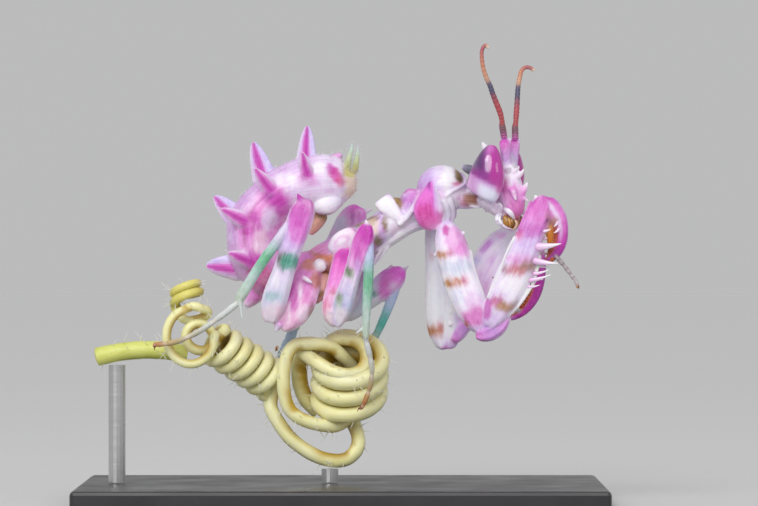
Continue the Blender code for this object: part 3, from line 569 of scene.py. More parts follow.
def colour_abdomen(s):
    tint = ramp(s.along, "0 d696ce .2 e48cd0 .35 e8aade .5 ea9cd8 .65 eac6ee .8 pale 1 pale")
    tint = tinge(tint, "lilac", step(s.across, -0.35, -0.8) * 0.7 * step(s.along, 0.9, 0.5))
    tint = tinge(tint, "pale", step(s.n1, 0.0, 0.5) * 0.55)
    tint = tinge(tint, "pink", step(s.n3, 0.05, 0.45) * 0.35)
    tint = tinge(tint, "white", step(s.across, 0.35, 0.85) * step(s.along, 0.62, 0.74) * 0.75)
    tint = dabs(tint, s, """
        -4.42 -2.1 19.82 .95 1.6 .75 magenta .85 / -4.68 -2.2 19.89 .35 1.2 .28 purple .7 /
        -2.27 -2 20.93 .6 1.4 .6 magenta .75 / -2.41 -2 21.19 .22 1.2 .2 purple .7 /
        -.72 -1.4 21.58 .34 1.5 .42 magenta .85 / -.39 -1.4 21.19 .46 1.5 .5 ce3e9c .9 /
        -.07 -1.4 20.8 .34 1.2 .4 rose .75 / .07 -1 21.58 .3 1.5 .5 pale .6 /
        -5.98 -2.2 18 .95 1.5 .85 magenta .85 / -5.27 -2.3 16.77 .55 1.2 .9 f2d0e2 .8 /
        -4.62 -2.2 18.33 .6 1.2 .75 pale .75 / -5.85 -2.3 15.6 .75 1.6 .75 magenta .85 /
        -5.2 -2.2 14.62 1 1.6 .9 rose .7 / -5.46 -2 13.78 .6 1.6 .5 magenta .6 /
        -4.03 -2.2 19.5 .7 1.2 .4 magenta .5 / -3.77 -2.3 18.91 .55 1.2 .85 d654be .65 /
        -2.79 -2.2 20.28 .9 1.2 .6 pale .7 / -3.71 -1.9 20.87 .9 1.2 .45 white .65 /
        -1.5 -1.4 21.64 .5 1.2 .5 white .8 / -1.1 -1.6 19.37 .7 1.6 .55 white .95 /
        -1.36 -1.2 18.72 .75 1.4 .28 olive .85 / -.72 -.9 18.33 .7 1.4 .4 brown .6 /
        .65 -.7 20.54 .55 1.4 1 cream .8 / .52 -.6 21.45 .6 1.4 .4 cec86e .9""")
    tint = tinge(tinge(tint, "pink", pleats(s) * 0.4), "ca3270", pleats(s) ** 2 * 0.75)
    for place in RINGS:
        tint = tinge(tint, "ba68aa", ridge(s.along + 0.012 * s.n2, place, 0.0055) * 0.22)
        tint = tinge(tint, "white", ridge(s.along - place, -0.018, 0.012) * 0.18)
    # A dull mauve line along the fold in the abdomen's side, where the relief creases it: painted shade in
    # the crease.
    fold = ridge(s.across + 0.34, -0.05 * s.n2, 0.035) * step(s.along, 0.3, 0.36) * step(s.along, 0.56, 0.5)
    return tinge(tint, "96546e", fold * 0.6)


def relief_abdomen(s):
    raised = 0.03 * s.n1 + 0.018 * s.n3
    for place in RINGS:
        raised -= 0.055 * ridge(s.along, place, 0.009)
        raised += 0.035 * ridge(s.along - place, -0.024, 0.018)
    fold = ridge(s.across, -0.34, 0.06) * step(s.along, 0.25, 0.33) * step(s.along, 0.60, 0.5)
    return raised - 0.07 * fold - 0.06 * pleats(s)


def colour_blade(s):
    tint = ramp(np.abs(s.across), "0 magenta .34 pink .55 lilac .85 pale 1 white")
    tint = tinge(tint, "d0c8f0", step(s.across, 0.05, 0.5) * 0.85)
    tint = tinge(tint, "magenta", ridge(s.across, -0.22, 0.30) * step(s.along, 0.0, 0.25) * 0.9)
    tint = tinge(tint, "purple", ridge(s.across, -0.15, 0.14) * step(s.along, 0.4, 0.85) * 0.5)
    return tinge(tint, "white", step(s.along, 0.93, 0.99))


def relief_blade(s):
    return -0.09 * ridge(s.across, 0.28, 0.28) * step(s.along, 0.05, 0.3) * step(s.along, 0.95, 0.7)


def colour_flank(s):
    tint = ramp(np.abs(s.across), "0 magenta .5 pink .9 pale 1 white")
    tint = tinge(tint, "magenta", step(s.along, 0.55, 0.1) * 0.7)
    return tinge(tint, "white", step(s.along, 0.90, 0.98))


body_line = smooth_path("""
    -1.56 0 15.34 1.2 1.35 / -2.86 0 14.62 1.55 1.9 / -4.55 0 14.88 1.8 2.3 / -5.53 0 16.32 1.9 2.45 /
    -5.59 0 18 1.85 2.45 / -4.68 0 19.44 1.62 2.4 / -3.31 0 20.28 1.74 2.25 / -1.82 0 20.67 1.82 2 /
    -.33 0 20.73 1.74 1.65 / .58 0 20.73 .9 .9""", 22)
form("abdomen", body_line, colour_abdomen, relief=relief_abdomen, sides=24)

for number, (*ends, width) in enumerate(table("""
    -6.89 0 15.24 -8.91 0 15.34 .8 / -6.63 0 18.2 -8.37 0 19.92 .78 / -5 0 21 -5.8 0 23.45 .74 /
    -2.31 0 21.84 -2.24 0 24.53 .66""")):
    blade("blade_%d" % number, ends[:3], ends[3:], width, 0.42, colour_blade, relief_blade, leaf=0.7)
for number, (*ends, width) in enumerate(table("""
    -5.85 -1.9 15.6 -7.37 -2.75 16.19 .54 / -5.98 -1.9 18.07 -7.87 -2.75 19.05 .56 /
    -4.49 -1.85 20.09 -5.66 -2.7 21.68 .54 / -2.24 -1.6 21.19 -2.57 -2.4 22.75 .44""")):
    for mark, side in SIDES:
        root, tip = sided([ends[:3], ends[3:]], side)
        blade("flank_%d_%s" % (number, mark), root, tip, width, 0.34, colour_flank, leaf=0.8)


def colour_lobe(s):
    tint = ramp(s.along, "0 mauve .5 pink 1 pale")
    return tinge(tint, "white", step(np.abs(s.across), 0.7, 1.0) * 0.7)


def colour_bulge(s):
    tint = ramp(s.along, "0 dee0e2 .4 white .75 e2dcee 1 lilac")
    # Olive along its underside: painted shade under the bulge.
    return tinge(tint, "olive", step(s.place[:, 2], 18.85, 18.55) * 0.8)


for mark, side in SIDES:
    form("side_bulge_" + mark, sided("""
        -1.62 -1.1 19.08 .42 .5 / -1.27 -1.25 19.18 .66 .6 / -.81 -1.2 19.34 .68 .58 /
        -.42 -1.05 19.47 .52 .5 / -.13 -.9 19.53 .28 .3""", side), colour_bulge, sides=14)
# The back flap's dark olive root, just under the white bulge, is painted shade; further out it is its own
# tan.
form("back_flap", """
    -1.36 0 18.62 .5 1 / -1.56 0 18.2 .46 .9 / -1.82 0 17.75 .34 .7 / -2.02 0 17.39 .16 .35""",
     "0 766428 .22 967a40 .36 e2b896 .7 e8be9c 1 ecc8b4", sides=12)
form("belly_lobe", """
    -4.81 0 14.82 1 .9 / -5.4 0 13.85 .72 .75 / -5.85 0 13.2 .55 .6 / -6.17 0 12.77 .3 .34""", colour_lobe)
form("tail_plate", """
    -1.76 0 21.52 .5 .7 / -.98 0 21.94 .42 .62 / -.46 0 22.26 .36 .5 / -.07 0 22.52 .2 .34""",
     "0 pale .5 e696d4 1 e6bee6")
form("back_knob", "-1.56 0 22.1 .25 .25 / -1.5 0 22.39 .15 .15", "0 pale 1 white")


# ---------------------------------------------------------------- cerci
# A pair of short tapering feelers at the tail, jointed, greenish with yellow bases.

def relief_cercus(s):
    return -0.03 * joints(s, 5.0, 0.14)


form("tail_tip", "-.26 0 20.93 .8 .8 / .39 0 21.06 .62 .8 / .65 0 21.32 .34 .6",
     "0 pale .6 cream 1 cec878")
for mark, stations in (
        ("right", """
            .23 -.5 21.32 .26 .26 / .42 -.72 22.1 .23 .23 / .6 -.85 22.82 .15 .15 / .7 -.9 23.24 .07 .07"""),
        ("left", """
            .78 .5 21.45 .26 .26 / .94 .72 22.1 .21 .21 / 1.01 .85 22.69 .13 .13 / 1.03 .9 23.02 .07 .07""")):
    form("cercus_" + mark, stations, "0 cec45a .35 c4ce8c .7 c4dece 1 e2eeec", relief_cercus, sides=8)


# ---------------------------------------------------------------- thorax and neck
# Hind and middle thorax with small wing lobes, a domed shield in front with a shoulder ridge
# on each side, and a soft folded neck.

def colour_thorax(s):
    tint = ramp(s.along, "0 pink .12 mauve .3 lilac .45 pale .6 pink .68 pale .8 white 1 pale")
    tint = tinge(tint, "pink", step(s.n2, 0.1, 0.6) * 0.5)
    tint = tinge(tint, "white", step(s.n1, 0.1, 0.5) * 0.4)
    tint = dabs(tint, s, """
        -1.56 -1.4 15.34 1.7 1.6 .9 d4967a .85 / -2.02 -1 16.19 .7 1.6 .25 b0863c .75 /
        -1.24 -1.2 16.45 .9 1.6 .4 e2a0c8 .8 / -2.08 -1.2 15.73 .5 1.5 .3 de8cb4 .7 /
        -1.89 -1.2 15.21 .75 1.4 .4 be7c42 .85 / -1.17 -1.2 14.56 .6 1.4 .5 9e7836 .8 /
        -.98 -1.2 15.86 .8 1.4 .28 ce804c .75 / -2.34 -1.2 15.73 .5 1.4 .8 pink .6 /
        .13 -.9 17.55 .9 1.4 .2 brown .9 / 1.17 -.9 18 .9 1.4 .2 olive .9 /
        1.95 -.9 18.39 .6 1.4 .18 olive .9 / 2.83 -1.2 18 .26 1.4 .6 olive .95 /
        3.58 -.9 19.37 .42 1.6 .66 8e6c2e .97 / 3.25 -.7 19.57 .3 1.5 .4 olive .9 /
        1.95 -1.3 17.81 .5 1.2 .7 cream .7 / 3.45 -1.3 17.68 .2 1.2 .5 rose .45 /
        3.77 -1.3 17.88 .16 1.2 .4 rose .4 / 4.23 -1.3 17.68 .2 1.2 .3 pink .5 /
        3.06 -1.4 17.55 .14 1.2 .9 white .9 / 3.64 -1.3 18.2 .8 1.4 .3 white .8 /
        4.16 -1 17.68 1.1 1.4 .35 white .7 / 1.82 -1.3 16.64 .5 1.4 .5 pink .6 /
        2.34 -1 16.93 .3 1.4 .45 7c7a28 .95 / .33 -1.2 15.99 .6 1.4 .4 magenta .7""")
    return tint


def relief_thorax(s):
    raised = 0.02 * s.n2 + 0.012 * s.n3
    for place in (0.24, 0.42, 0.53, 0.80, 0.86, 0.93):
        raised -= 0.07 * ridge(s.along, place, 0.010)
    return raised


form("thorax", smooth_path("""
    -1.76 0 15.34 1.1 1.4 / -.39 0 15.99 1.18 1.7 / .84 0 16.77 1.12 1.74 / 2.27 0 17.48 1.04 1.62 /
    3.51 0 18.39 1.1 1.32 / 4.62 0 18.85 1.04 1.18 / 5.46 0 19.37 1.02 1.5 / 6.17 0 19.82 1.26 1.7 /
    6.96 0 19.96 1.06 1.45 / 7.61 0 19.89 .85 1.1 / 8.06 0 19.82 .72 .8 / 8.91 -.15 19.82 .62 .7""", 20),
     colour_thorax, relief_thorax, sides=20)


def colour_breast(s):
    tint = ramp(s.along, "0 pale .5 white 1 lilac")
    return tinge(tint, "olive", dab(s, (2.34, -0.7, 16.9), (0.22, 1.0, 0.45)) * 0.8)


form("breast", """
    2.08 0 16.32 .36 .8 / 2.79 0 16.77 .42 1 / 3.83 0 17.48 .44 1 / 4.81 0 18.07 .42 .95 /
    5.72 0 18.2 .5 .9""", colour_breast, relief=lambda s: -0.05 * ridge(s.across, 0.2, 0.12), sides=14)


def colour_shield(s):
    tint = ramp(s.along, "0 mauve .35 lilac .55 white 1 pale")
    tint = tinge(tint, "lilac", step(s.n2, 0.0, 0.5) * 0.4)
    return dabs(tint, s, """
        6.96 -1.2 21 .75 1.4 .6 white 1 / 7.67 -.6 21.22 .44 1.8 .66 olive .95 /
        7.77 -.6 21.06 .26 1.8 .36 604818 .7 / 7.44 -.9 20.61 .34 1.6 .16 rose .75""")


form("shield", """
    5.33 0 20.15 .75 1 / 5.85 0 20.54 1.2 1.55 / 6.5 0 20.61 1.34 1.72 / 7.15 0 20.54 1.2 1.55 /
    7.74 0 20.35 .72 1""", colour_shield, sides=18, dome=0.35)
rim("shield_edge", """
    7.74 -.2 21.32 / 8 -.5 20.93 / 7.96 -.85 20.61 / 7.54 -1.2 20.38 / 7.15 -1.42 20.15 /
    6.76 -1.55 19.86""", 0.12, "0 lilac 1 white")


def colour_shoulder(s):
    tint = ramp(s.along, "0 pink .2 de70d2 .5 de60be .75 e070b4 .88 e8aad6 1 e8def0")
    tint = tinge(tint, "lilac", step(s.across, -0.20, -0.55) * step(s.along, 0.72, 0.42) * 0.9)
    tint = tinge(tint, "white", step(s.across, -0.50, -0.85) * step(s.along, 0.80, 0.50) * 0.7)
    tint = tinge(tint, "d44a98", dab(s, (5.4, -1.9, 18.79), (0.60, 1.2, 0.55)) * 0.55)
    tint = tinge(tint, "e296de", step(s.across, 0.72, 0.98) * 0.45)
    return dabs(tint, s, "5.66 -1.5 20.54 .12 .8 .3 purple .7")


def colour_lump(s):
    tint = ramp(s.along, "0 pink .5 mauve 1 pale")
    tint = tinge(tint, "magenta", step(s.n3 + s.n2, 0.0, 0.6) * 0.55)
    return tinge(tint, "white", step(s.n3, 0.25, 0.5) * 0.5)


def colour_wing_lobe(s):
    tint = ramp(s.along, "0 pale .4 white .8 white 1 lilac")
    return tinge(tint, "mauve", step(s.across, 0.3, 0.9) * step(s.along, 0.5, 0.9) * 0.8)


def colour_saddle(s):
    # The dark olive it deepens to towards the hump is painted shade between the wing lobe and the hump.
    tint = ramp(s.along, "0 cream .35 a6844a .8 806022 1 745428")
    tint = tinge(tint, "olive", step(s.n3, 0.0, 0.5) * 0.5)
    return tinge(tint, "c4a882", dab(s, (3.19, -0.8, 19.63), (0.30, 1.6, 0.25)) * 0.6)


def plate_ring(s):
    """The ring-shaped hollow of a coxal plate."""
    away = ((s.along - 0.5) ** 2 * 9 + s.across ** 2) ** 0.5
    return np.exp(-(away - 0.45) ** 2 / 0.012)


def colour_plate(s):
    tint = tinge(ramp(s.along, "0 pale .5 white 1 f6d6ec"), "pink", plate_ring(s) * 0.55)
    return tinge(tint, "pink", step(s.along, 0.75, 1.0) * 0.6)


def colour_hip_lobe(s):
    tint = ramp(s.along, "0 b27c54 .4 dcaca0 1 d696a0")
    return tinge(tint, "967030", dab(s, (-1.4, -1.7, 13.52), (0.36, 1.0, 0.25)) * 0.9)


form("saddle", "2.79 0 19.18 .3 .8 / 3.19 0 19.27 .5 1.02 / 3.58 0 19.21 .6 1.08 / 3.97 0 18.98 .6 1.05",
     colour_saddle, relief=lambda s: 0.02 * s.n3, sides=16)
form("hump", """
    4.62 0 20.09 .55 .9 / 4.55 0 19.7 .72 1.15 / 4.36 0 19.11 .7 1.25 / 4.09 0 18.59 .5 1.2""",
     colour_lump, relief=lambda s: 0.06 * s.n3 + 0.03 * s.n2, sides=14)
blade("hump_corner", (4.29, -0.6, 19.63), (3.93, -0.7, 19.96), 0.34, 0.5, colour_lump)
for mark, side in SIDES:
    form("shoulder_" + mark, sided("""
        5.79 -1.35 20.64 .22 .26 / 5.75 -1.62 20.09 .5 .34 / 5.62 -1.72 19.44 .86 .4 /
        5.59 -1.7 18.85 1.02 .44 / 5.72 -1.55 18.33 .92 .42 / 6.04 -1.35 17.88 .56 .34""", side),
         colour_shoulder, relief=lambda s: 0.03 * s.n3, sides=14)
    rim("hump_fold_" + mark,
        sided("5.13 -1.2 19.96 / 4.75 -1.42 19.24 / 4.23 -1.42 18.53 / 3.71 -1.4 18", side),
        0.20, "0 pink .4 pale 1 white")
    form("wing_lobe_" + mark, sided("""
        3.9 -1.18 18.2 .3 .3 / 3.51 -1.22 18.56 .42 .32 / 3.06 -1.22 19.08 .58 .28 /
        2.73 -1.16 19.47 .64 .18 / 2.56 -1.1 19.7 .6 .1""", side), colour_wing_lobe, sides=12, dome=0.15)
    form("coxal_plate_" + mark, sided("""
        -.72 -1.55 16.41 .36 .3 / -.26 -1.68 16.71 .66 .34 / .26 -1.74 17.03 .72 .34 /
        .78 -1.66 17.45 .52 .3""", side), colour_plate, relief=lambda s: -0.05 * plate_ring(s), sides=14)
    form("white_knob_" + mark,
         sided("-1.59 -1.62 15.57 .3 .28 / -1.38 -1.8 15.34 .42 .34 / -1.17 -1.65 15.15 .28 .26", side),
         "0 fcfafe 1 white", sides=10)
    form("hip_lobe_" + mark, sided("""
        -1.04 -1.2 14.56 .5 .5 / -1.24 -1.6 13.91 .62 .5 / -1.59 -1.7 13.26 .42 .38 /
        -1.82 -1.7 12.94 .2 .2""", side), colour_hip_lobe, sides=12)


# The neck's skin hangs in loose grey-white folds under the shield.
def colour_neck(s):
    tint = ramp(s.along, "0 white .5 pale 1 eee8f2")
    return dabs(tint, s, """
        7.96 -.7 19.6 .42 1.2 .52 ce7096 .75 / 8.42 -.7 19.82 .6 1.4 .8 926a3e .95 /
        8.68 -.7 19.57 .28 1.2 .34 a65842 .7""")


def colour_throat(s):
    return tinge(ramp(s.along, "0 pale .5 white 1 lilac"), "beb8c6", step(s.n3, 0.0, 0.5) * 0.6)


form("throat", "5.98 0 18.98 .6 1.35 / 6.44 0 18.91 .88 1.5 / 6.83 0 18.91 .86 1.34 / 7.12 0 18.98 .7 1.1",
     colour_throat, relief=lambda s: 0.05 * s.n3, sides=14)
form("neck_skin",
     "7.35 -.1 19.7 .66 .8 / 8.06 -.2 19.63 .66 .78 / 8.78 -.35 19.57 .5 .62 / 9.36 -.5 19.57 .45 .6",
     colour_neck, relief=lambda s: 0.05 * s.n3, sides=14)
for name, radius, colouring, rows in (
        ("neck_fold", 0.12, "0 d4ccda .5 white 1 cec4d4", """
            9.04 -.95 19.7 9.29 -1.05 19.3 9.36 -.95 18.85 /
            9.43 -.95 19.5 9.69 -1.05 19.11 9.78 -.95 18.69 /
            8.32 -.75 19.24 8.71 -.8 19.14 9.04 -.85 19.21"""),
        ("cheek_fold", 0.10, "0 white .6 pale 1 d6c8d8", """
            9.23 -1.7 19.73 9.49 -1.74 19.44 9.52 -1.6 19.05 /
            9.69 -1.7 19.6 9.95 -1.7 19.3 9.98 -1.52 18.88 /
            10.14 -1.62 19.4 10.34 -1.6 19.14 10.34 -1.42 18.79""")):
    for number, row in enumerate(table(rows)):
        rim("%s_%d" % (name, number), [row[:3], row[3:6], row[6:]], radius, colouring, 8)
for mark, side in SIDES:
    for number, points in enumerate((
            "6.89 -1.32 19.76 / 7.14 -1.26 19.3 / 7.18 -1.16 18.72 / 7.05 -1 18.14",
            "6.53 -1.46 19.57 / 6.79 -1.42 19.18 / 6.89 -1.36 18.66 / 6.76 -1.22 18.07",
            "6.24 -1.5 19.24 / 6.5 -1.5 18.79 / 6.53 -1.38 18.14")):
        rim("throat_fold_%d_%s" % (number, mark), sided(points, side), 0.19, "0 white .5 c8c2ce 1 pale", 8)


# ---------------------------------------------------------------- head
# Head turned a little to its right: a tall crest carrying the feelers, a face with spiked
# shield, a smooth cheek behind each eye, and folded mouthparts below.

HEAD_CENTRE = Vector((10.46, -0.45, 20.8))
HEAD_TURN = math.radians(24.0)
FACE = Vector((math.cos(HEAD_TURN), -math.sin(HEAD_TURN), 0))
RIGHT_SIDE = Vector((-math.sin(HEAD_TURN), -math.cos(HEAD_TURN), 0))


def on_head(sideways, forward, upward):
    """A place on the turned head: towards its right, towards its face, and up from its centre."""
    return HEAD_CENTRE + RIGHT_SIDE * sideways + FACE * forward + Vector((0, 0, upward))


def other_side(row):
    """The same station on the other half of the head."""
    point = Vector(row[:3])
    point -= 2 * RIGHT_SIDE * (point - HEAD_CENTRE).dot(RIGHT_SIDE)
    return (*point, *row[3:])


def on_half(text, side):
    """Stations of the head's right half, or the same on its left where side is -1."""
    return table(text) if side > 0 else [other_side(row) for row in table(text)]


def colour_head(s):
    up = s.place[:, 2] - HEAD_CENTRE.z
    # Just below the eye (ee9cd8) the pink is lightened: painted light where the eye shades the face.
    tint = ramp(up, "-3 pale -2.4 ecb4dc -1.2 ee9cd8 -.5 eecef4 .2 white 1 pale 1.8 lilac")
    tint = dabs(tint, s, """
        10.6 -1 20.41 .26 1.4 .75 d03c9e .9 / 10.99 -1.2 19.44 .8 1.2 .7 f0aade .7 /
        10.21 -1.2 19.24 .42 1.4 .42 d4cad8 .8""", both=False)
    return tinge(tint, "pale", step(s.n3, 0.1, 0.5) * 0.4)


form("head", [(*on_head(0, f, u), depth, width) for u, f, width, depth in table("""
    1.75 .22 .6 .42 / 1.2 .24 1 .6 / .5 .26 1.18 .74 / -.3 .34 1.18 .88 / -1.1 .42 .98 .92 /
    -1.8 .46 .78 .74 / -2.4 .3 .56 .5""")],
     colour_head, relief=lambda s: 0.025 * s.n3, hint=RIGHT_SIDE, sides=18)
def colour_face(s):
    tint = ramp(s.along, "0 lilac .15 white .4 f2e6fa .5 f0b6ea .6 ec98d8 .8 e688c4 1 de78ba")
    tint = tinge(tint, "cc46a8", dab(s, (11.17, -1.7, 20.56), (0.12, 0.8, 0.12), 0.1, both=False))
    return tinge(tint, "de78c8", step(s.n3, 0.1, 0.5) * step(s.along, 0.4, 0.55) * 0.35)


form("face_plate", """
    10.95 -.95 21.81 .24 .5 / 11.02 -1.12 21.25 .4 .62 / 11.18 -1.15 20.54 .52 .68 /
    11.28 -1.15 19.76 .56 .66 / 11.44 -1.15 19.11 .46 .52 / 11.31 -1.15 18.66 .34 .4""",
     colour_face, relief=lambda s: 0.03 * s.n3, hint=RIGHT_SIDE, sides=12)


def colour_face_spike(s):
    high = step(s.place[:, 2], 20.35, 20.75)
    tint = ramp(s.along, "0 e480d0 .45 e896d8 .7 f4d6f0 .85 white 1 white")
    return tinge(tint, "f8eefc", high * 0.92)


for number, row in enumerate(table("""
    11.25 -1.4 21.03 11.78 -1.75 21.64 .19 .09 0 -.04 /
    11.38 -1.3 19.96 12.03 -1.65 20.77 .36 .05 0 -.12 / 11.51 -1.3 19.82 12.08 -1.6 19.49 .2 0 0 .05 /
    11.08 -1.7 20.15 11.25 -2.05 19.54 .22 0 0 0 / 11.15 -1.4 21.35 11.44 -1.8 21.78 .15 .05 0 0 /
    10.74 -1.45 21.42 10.8 -2.05 21.7 .19 0 0 0 / 10.89 -1.6 20.28 11.15 -2.05 20.05 .14 0 0 0""")):
    blade("face_spike_%d" % number, row[:3], row[3:6], row[6], 0.24, colour_face_spike, hint=RIGHT_SIDE,
          lean=row[7:])
form("crown_thorn", [(*on_head(0, f, u), w, w) for f, u, w in table(
    "-.8 1.45 .36 / -1.08 1.92 .29 / -1.32 2.3 .19 / -1.46 2.52 .1")],
     "0 pale 1 white", hint=RIGHT_SIDE, sides=10)


def colour_cheek(s):
    tint = ramp(s.along, "0 dad4de .5 e8deea 1 eec8e2")
    return tinge(tint, "ccb4c8", step(s.n3, 0.1, 0.6) * 0.5)


def colour_scape(s):
    tint = ramp(s.along, "0 white .35 lilac .7 pink .9 magenta 1 mauve")
    return tinge(tint, "magenta", step(s.n3, 0.1, 0.5) * 0.4)


for mark, side in SIDES:
    form("cheek_" + mark, on_half("""
        8.91 -1.25 19.63 .34 .4 / 9.23 -1.25 19.53 .46 .5 / 9.55 -1.2 19.3 .42 .5 /
        9.88 -1.15 19.11 .46 .5 / 10.21 -1.05 18.79 .36 .46 / 10.46 -1 18.53 .32 .42""", side),
         colour_cheek, relief=lambda s: 0.09 * s.n3 + 0.05 * s.n2, hint=RIGHT_SIDE, sides=12)
    form("scape_" + mark, [(*on_head(side * o, f, u), w, w) for o, f, u, w in table(
        ".46 .4 .9 .4 / .58 .43 1.4 .36 / .7 .46 1.9 .34 / .8 .46 2.32 .38 / .82 .44 2.6 .34")],
         colour_scape, relief=lambda s: 0.03 * s.n3, hint=RIGHT_SIDE, sides=12)
    form("scape_knob_" + mark, [(*on_head(side * o, f, u), w, w) for o, f, u, w in table(
        ".8 .6 2.15 .16 / .78 .72 2.5 .15 / .76 .8 2.74 .12")], "0 pink 1 pale", hint=RIGHT_SIDE, sides=8)
form("lip", "10.92 -1.1 19.11 .42 .5 / 11.05 -1.15 18.72 .4 .46 / 11.05 -1.1 18.33 .26 .32",
     "0 pink .6 d28cbe 1 brown", hint=RIGHT_SIDE, sides=12)
blade("nape_thorn", (8.84, -0.9, 21.32), (7.74, -0.9, 21.78), 0.36, 0.26,
      "0 lilac .35 626270 .7 70707e .88 aaaab8 1 pale", leaf=0.4)
form("nape", "8.45 -.2 21.06 .3 .5 / 9.23 -.3 20.93 .9 1 / 10.01 -.4 20.8 1.1 1.1",
     "0 pale 1 lilac", hint=(0, 1, 0), sides=12)


# ---------------------------------------------------------------- fore legs
# Raptorial legs, folded: coxa and femur are broad petals with raised rims, the curved tibia
# shuts against the femur's spines, and a thin foot hangs from its end.

def colour_petal(base, marks=""):
    """Colouring of a petal-like leg length: a run of colours, its marks and a pale edge."""
    colours = base.split()[1::2]

    def colouring(s):
        tint = ramp(s.along, base)
        tint = tinge(tint, "white", step(s.n1, 0.1, 0.6) * 0.35)
        tint = tinge(tint, colours[len(colours) // 2], step(s.n3, 0.1, 0.5) * 0.25)
        tint = tinge(tint, "white", step(np.abs(s.across), 0.80, 1.0) * 0.55)
        return dabs(tint, s, marks) if marks else tint
    return colouring


def relief_petal(s):
    """Two lengthwise ribs and a slight hollow between them."""
    ribs = ridge(np.abs(s.across), 0.55, 0.16) * 0.05
    return ribs - 0.05 * ridge(s.across, 0, 0.30) + 0.015 * s.n3


def leg(name, coxa, femur, tibia, tarsus, colours):
    """One leg's lengths as forms, with a colouring for each."""
    form("coxa_" + name, coxa, colours[0], relief_petal, sides=16, pinch=0.85)
    form("femur_" + name, femur, colours[1], relief_petal, sides=16, pinch=0.85)
    form("tibia_" + name, tibia, colours[2], sides=12)
    form("tarsus_" + name, [(*p, p[3]) for p in smooth_path(tarsus, 15)], colours[3], relief_foot, sides=8)


def relief_foot(s):
    """Five joints of the foot."""
    return -0.06 * joints(s, 5.0, 0.13) + 0.03


def colour_foot(s):
    tint = ramp(s.along, "0 d6e0e0 .35 c6ccbe .6 b6a876 .82 ba844c 1 b05c2e")
    return tinge(tint, "e8dec8", joints(s, 5.0, 0.10) * 0.5)


def colour_thin_foot(s):
    return tinge(ramp(s.along, "0 968e8c 1 cec8c4"), "5a5050", joints(s, 9.0, 0.14) * 0.6)


coxa_fore_colours = colour_petal(
    "0 lilac .25 pale .5 white .75 pale 1 mauve",
    """
        7.41 -2.1 16.84 .85 1.5 1.05 e4a6d8 .9 / 7.8 -2.1 16.32 .45 1.5 .6 pink .65 /
        6.7 -1.9 17.65 .26 1.5 .42 cc54a8 .9 / 7.35 -2.2 15.24 1.25 1.5 .66 ccd2e2 .9 /
        6.47 -2.2 16.05 .4 1.6 .24 bc8246 1 / 6.89 -2.2 16.15 .34 1.6 .19 be5478 .95 /
        7.02 -2.6 14.2 .5 1.6 .3 ba7e3c 1 / 7.48 -2.6 14.3 .5 1.6 .28 c27446 1 /
        7.93 -2.6 14.4 .3 1.6 .28 ca567a .95 / 8.52 -3 12.09 .75 1.6 .7 d660b4 .8 /
        8.06 -3 11.51 .16 1.6 .2 rust .9 / 8.38 -3 13.13 .55 1.6 .6 e6bee6 .6 /
        7.41 -3 13.39 .5 1.6 .6 bluish .3""")
femur_fore_colours = colour_petal(
    "0 lilac .25 pale .45 pale .6 lilac .7 pink .85 magenta 1 pink",
    """
        11.44 -3.5 17.36 .32 1.4 .36 rose .7 / 12.22 -3.5 17.55 .75 1.4 .5 magenta .6 /
        11.51 -3.7 15.73 1 1.4 .34 e0a0d6 .8 / 11.12 -3.7 14.04 1.1 1.4 .8 white .8 /
        10.99 -3.6 15.11 .7 1.4 .34 cc828c .95 / 11.44 -3.6 14.95 .5 1.4 .24 ce8080 .9 /
        11.99 -3.6 15.31 .62 1.4 .42 a68070 .95 / 10.46 -3.6 15.15 .2 1.4 .5 783c3c .6 /
        9.95 -3.5 13 .42 1.4 .42 c45a8c .85 / 10.46 -3.5 12.68 .7 1.4 .34 b28654 .95 /
        9.36 -3.5 12.61 .3 1.4 .8 magenta .7 / 11.18 -3.5 12.87 .4 1.4 .24 olive .5 /
        12.87 -3.4 19.24 .5 1.4 .4 pink .6 / 13.33 -3.3 19.63 .5 1.4 .4 magenta .7 /
        13.39 -3.4 18.53 .42 1.4 .32 d496b2 .75 / 13.2 -3.4 18.23 .15 1.4 .17 541e42 .9""")


def colour_tibia_fore(s):
    tint = ramp(s.along, "0 magenta .3 pink .55 magenta .8 purple 1 brown")
    tint = tinge(tint, "pale", ridge(s.across, 0.1, 0.28) * step(s.along, 0.62, 0.35) * 0.9)
    tint = tinge(tint, "b05428", step(s.across, 0.25, 0.7) * step(s.along, 0.25, 0.4) * 0.95)
    tint = tinge(tint, "lilac", step(s.across, -0.80, -1.0) * 0.6)
    return dabs(tint, s, "13.62 -3.3 18.14 .34 1.4 .36 ba9284 .9")


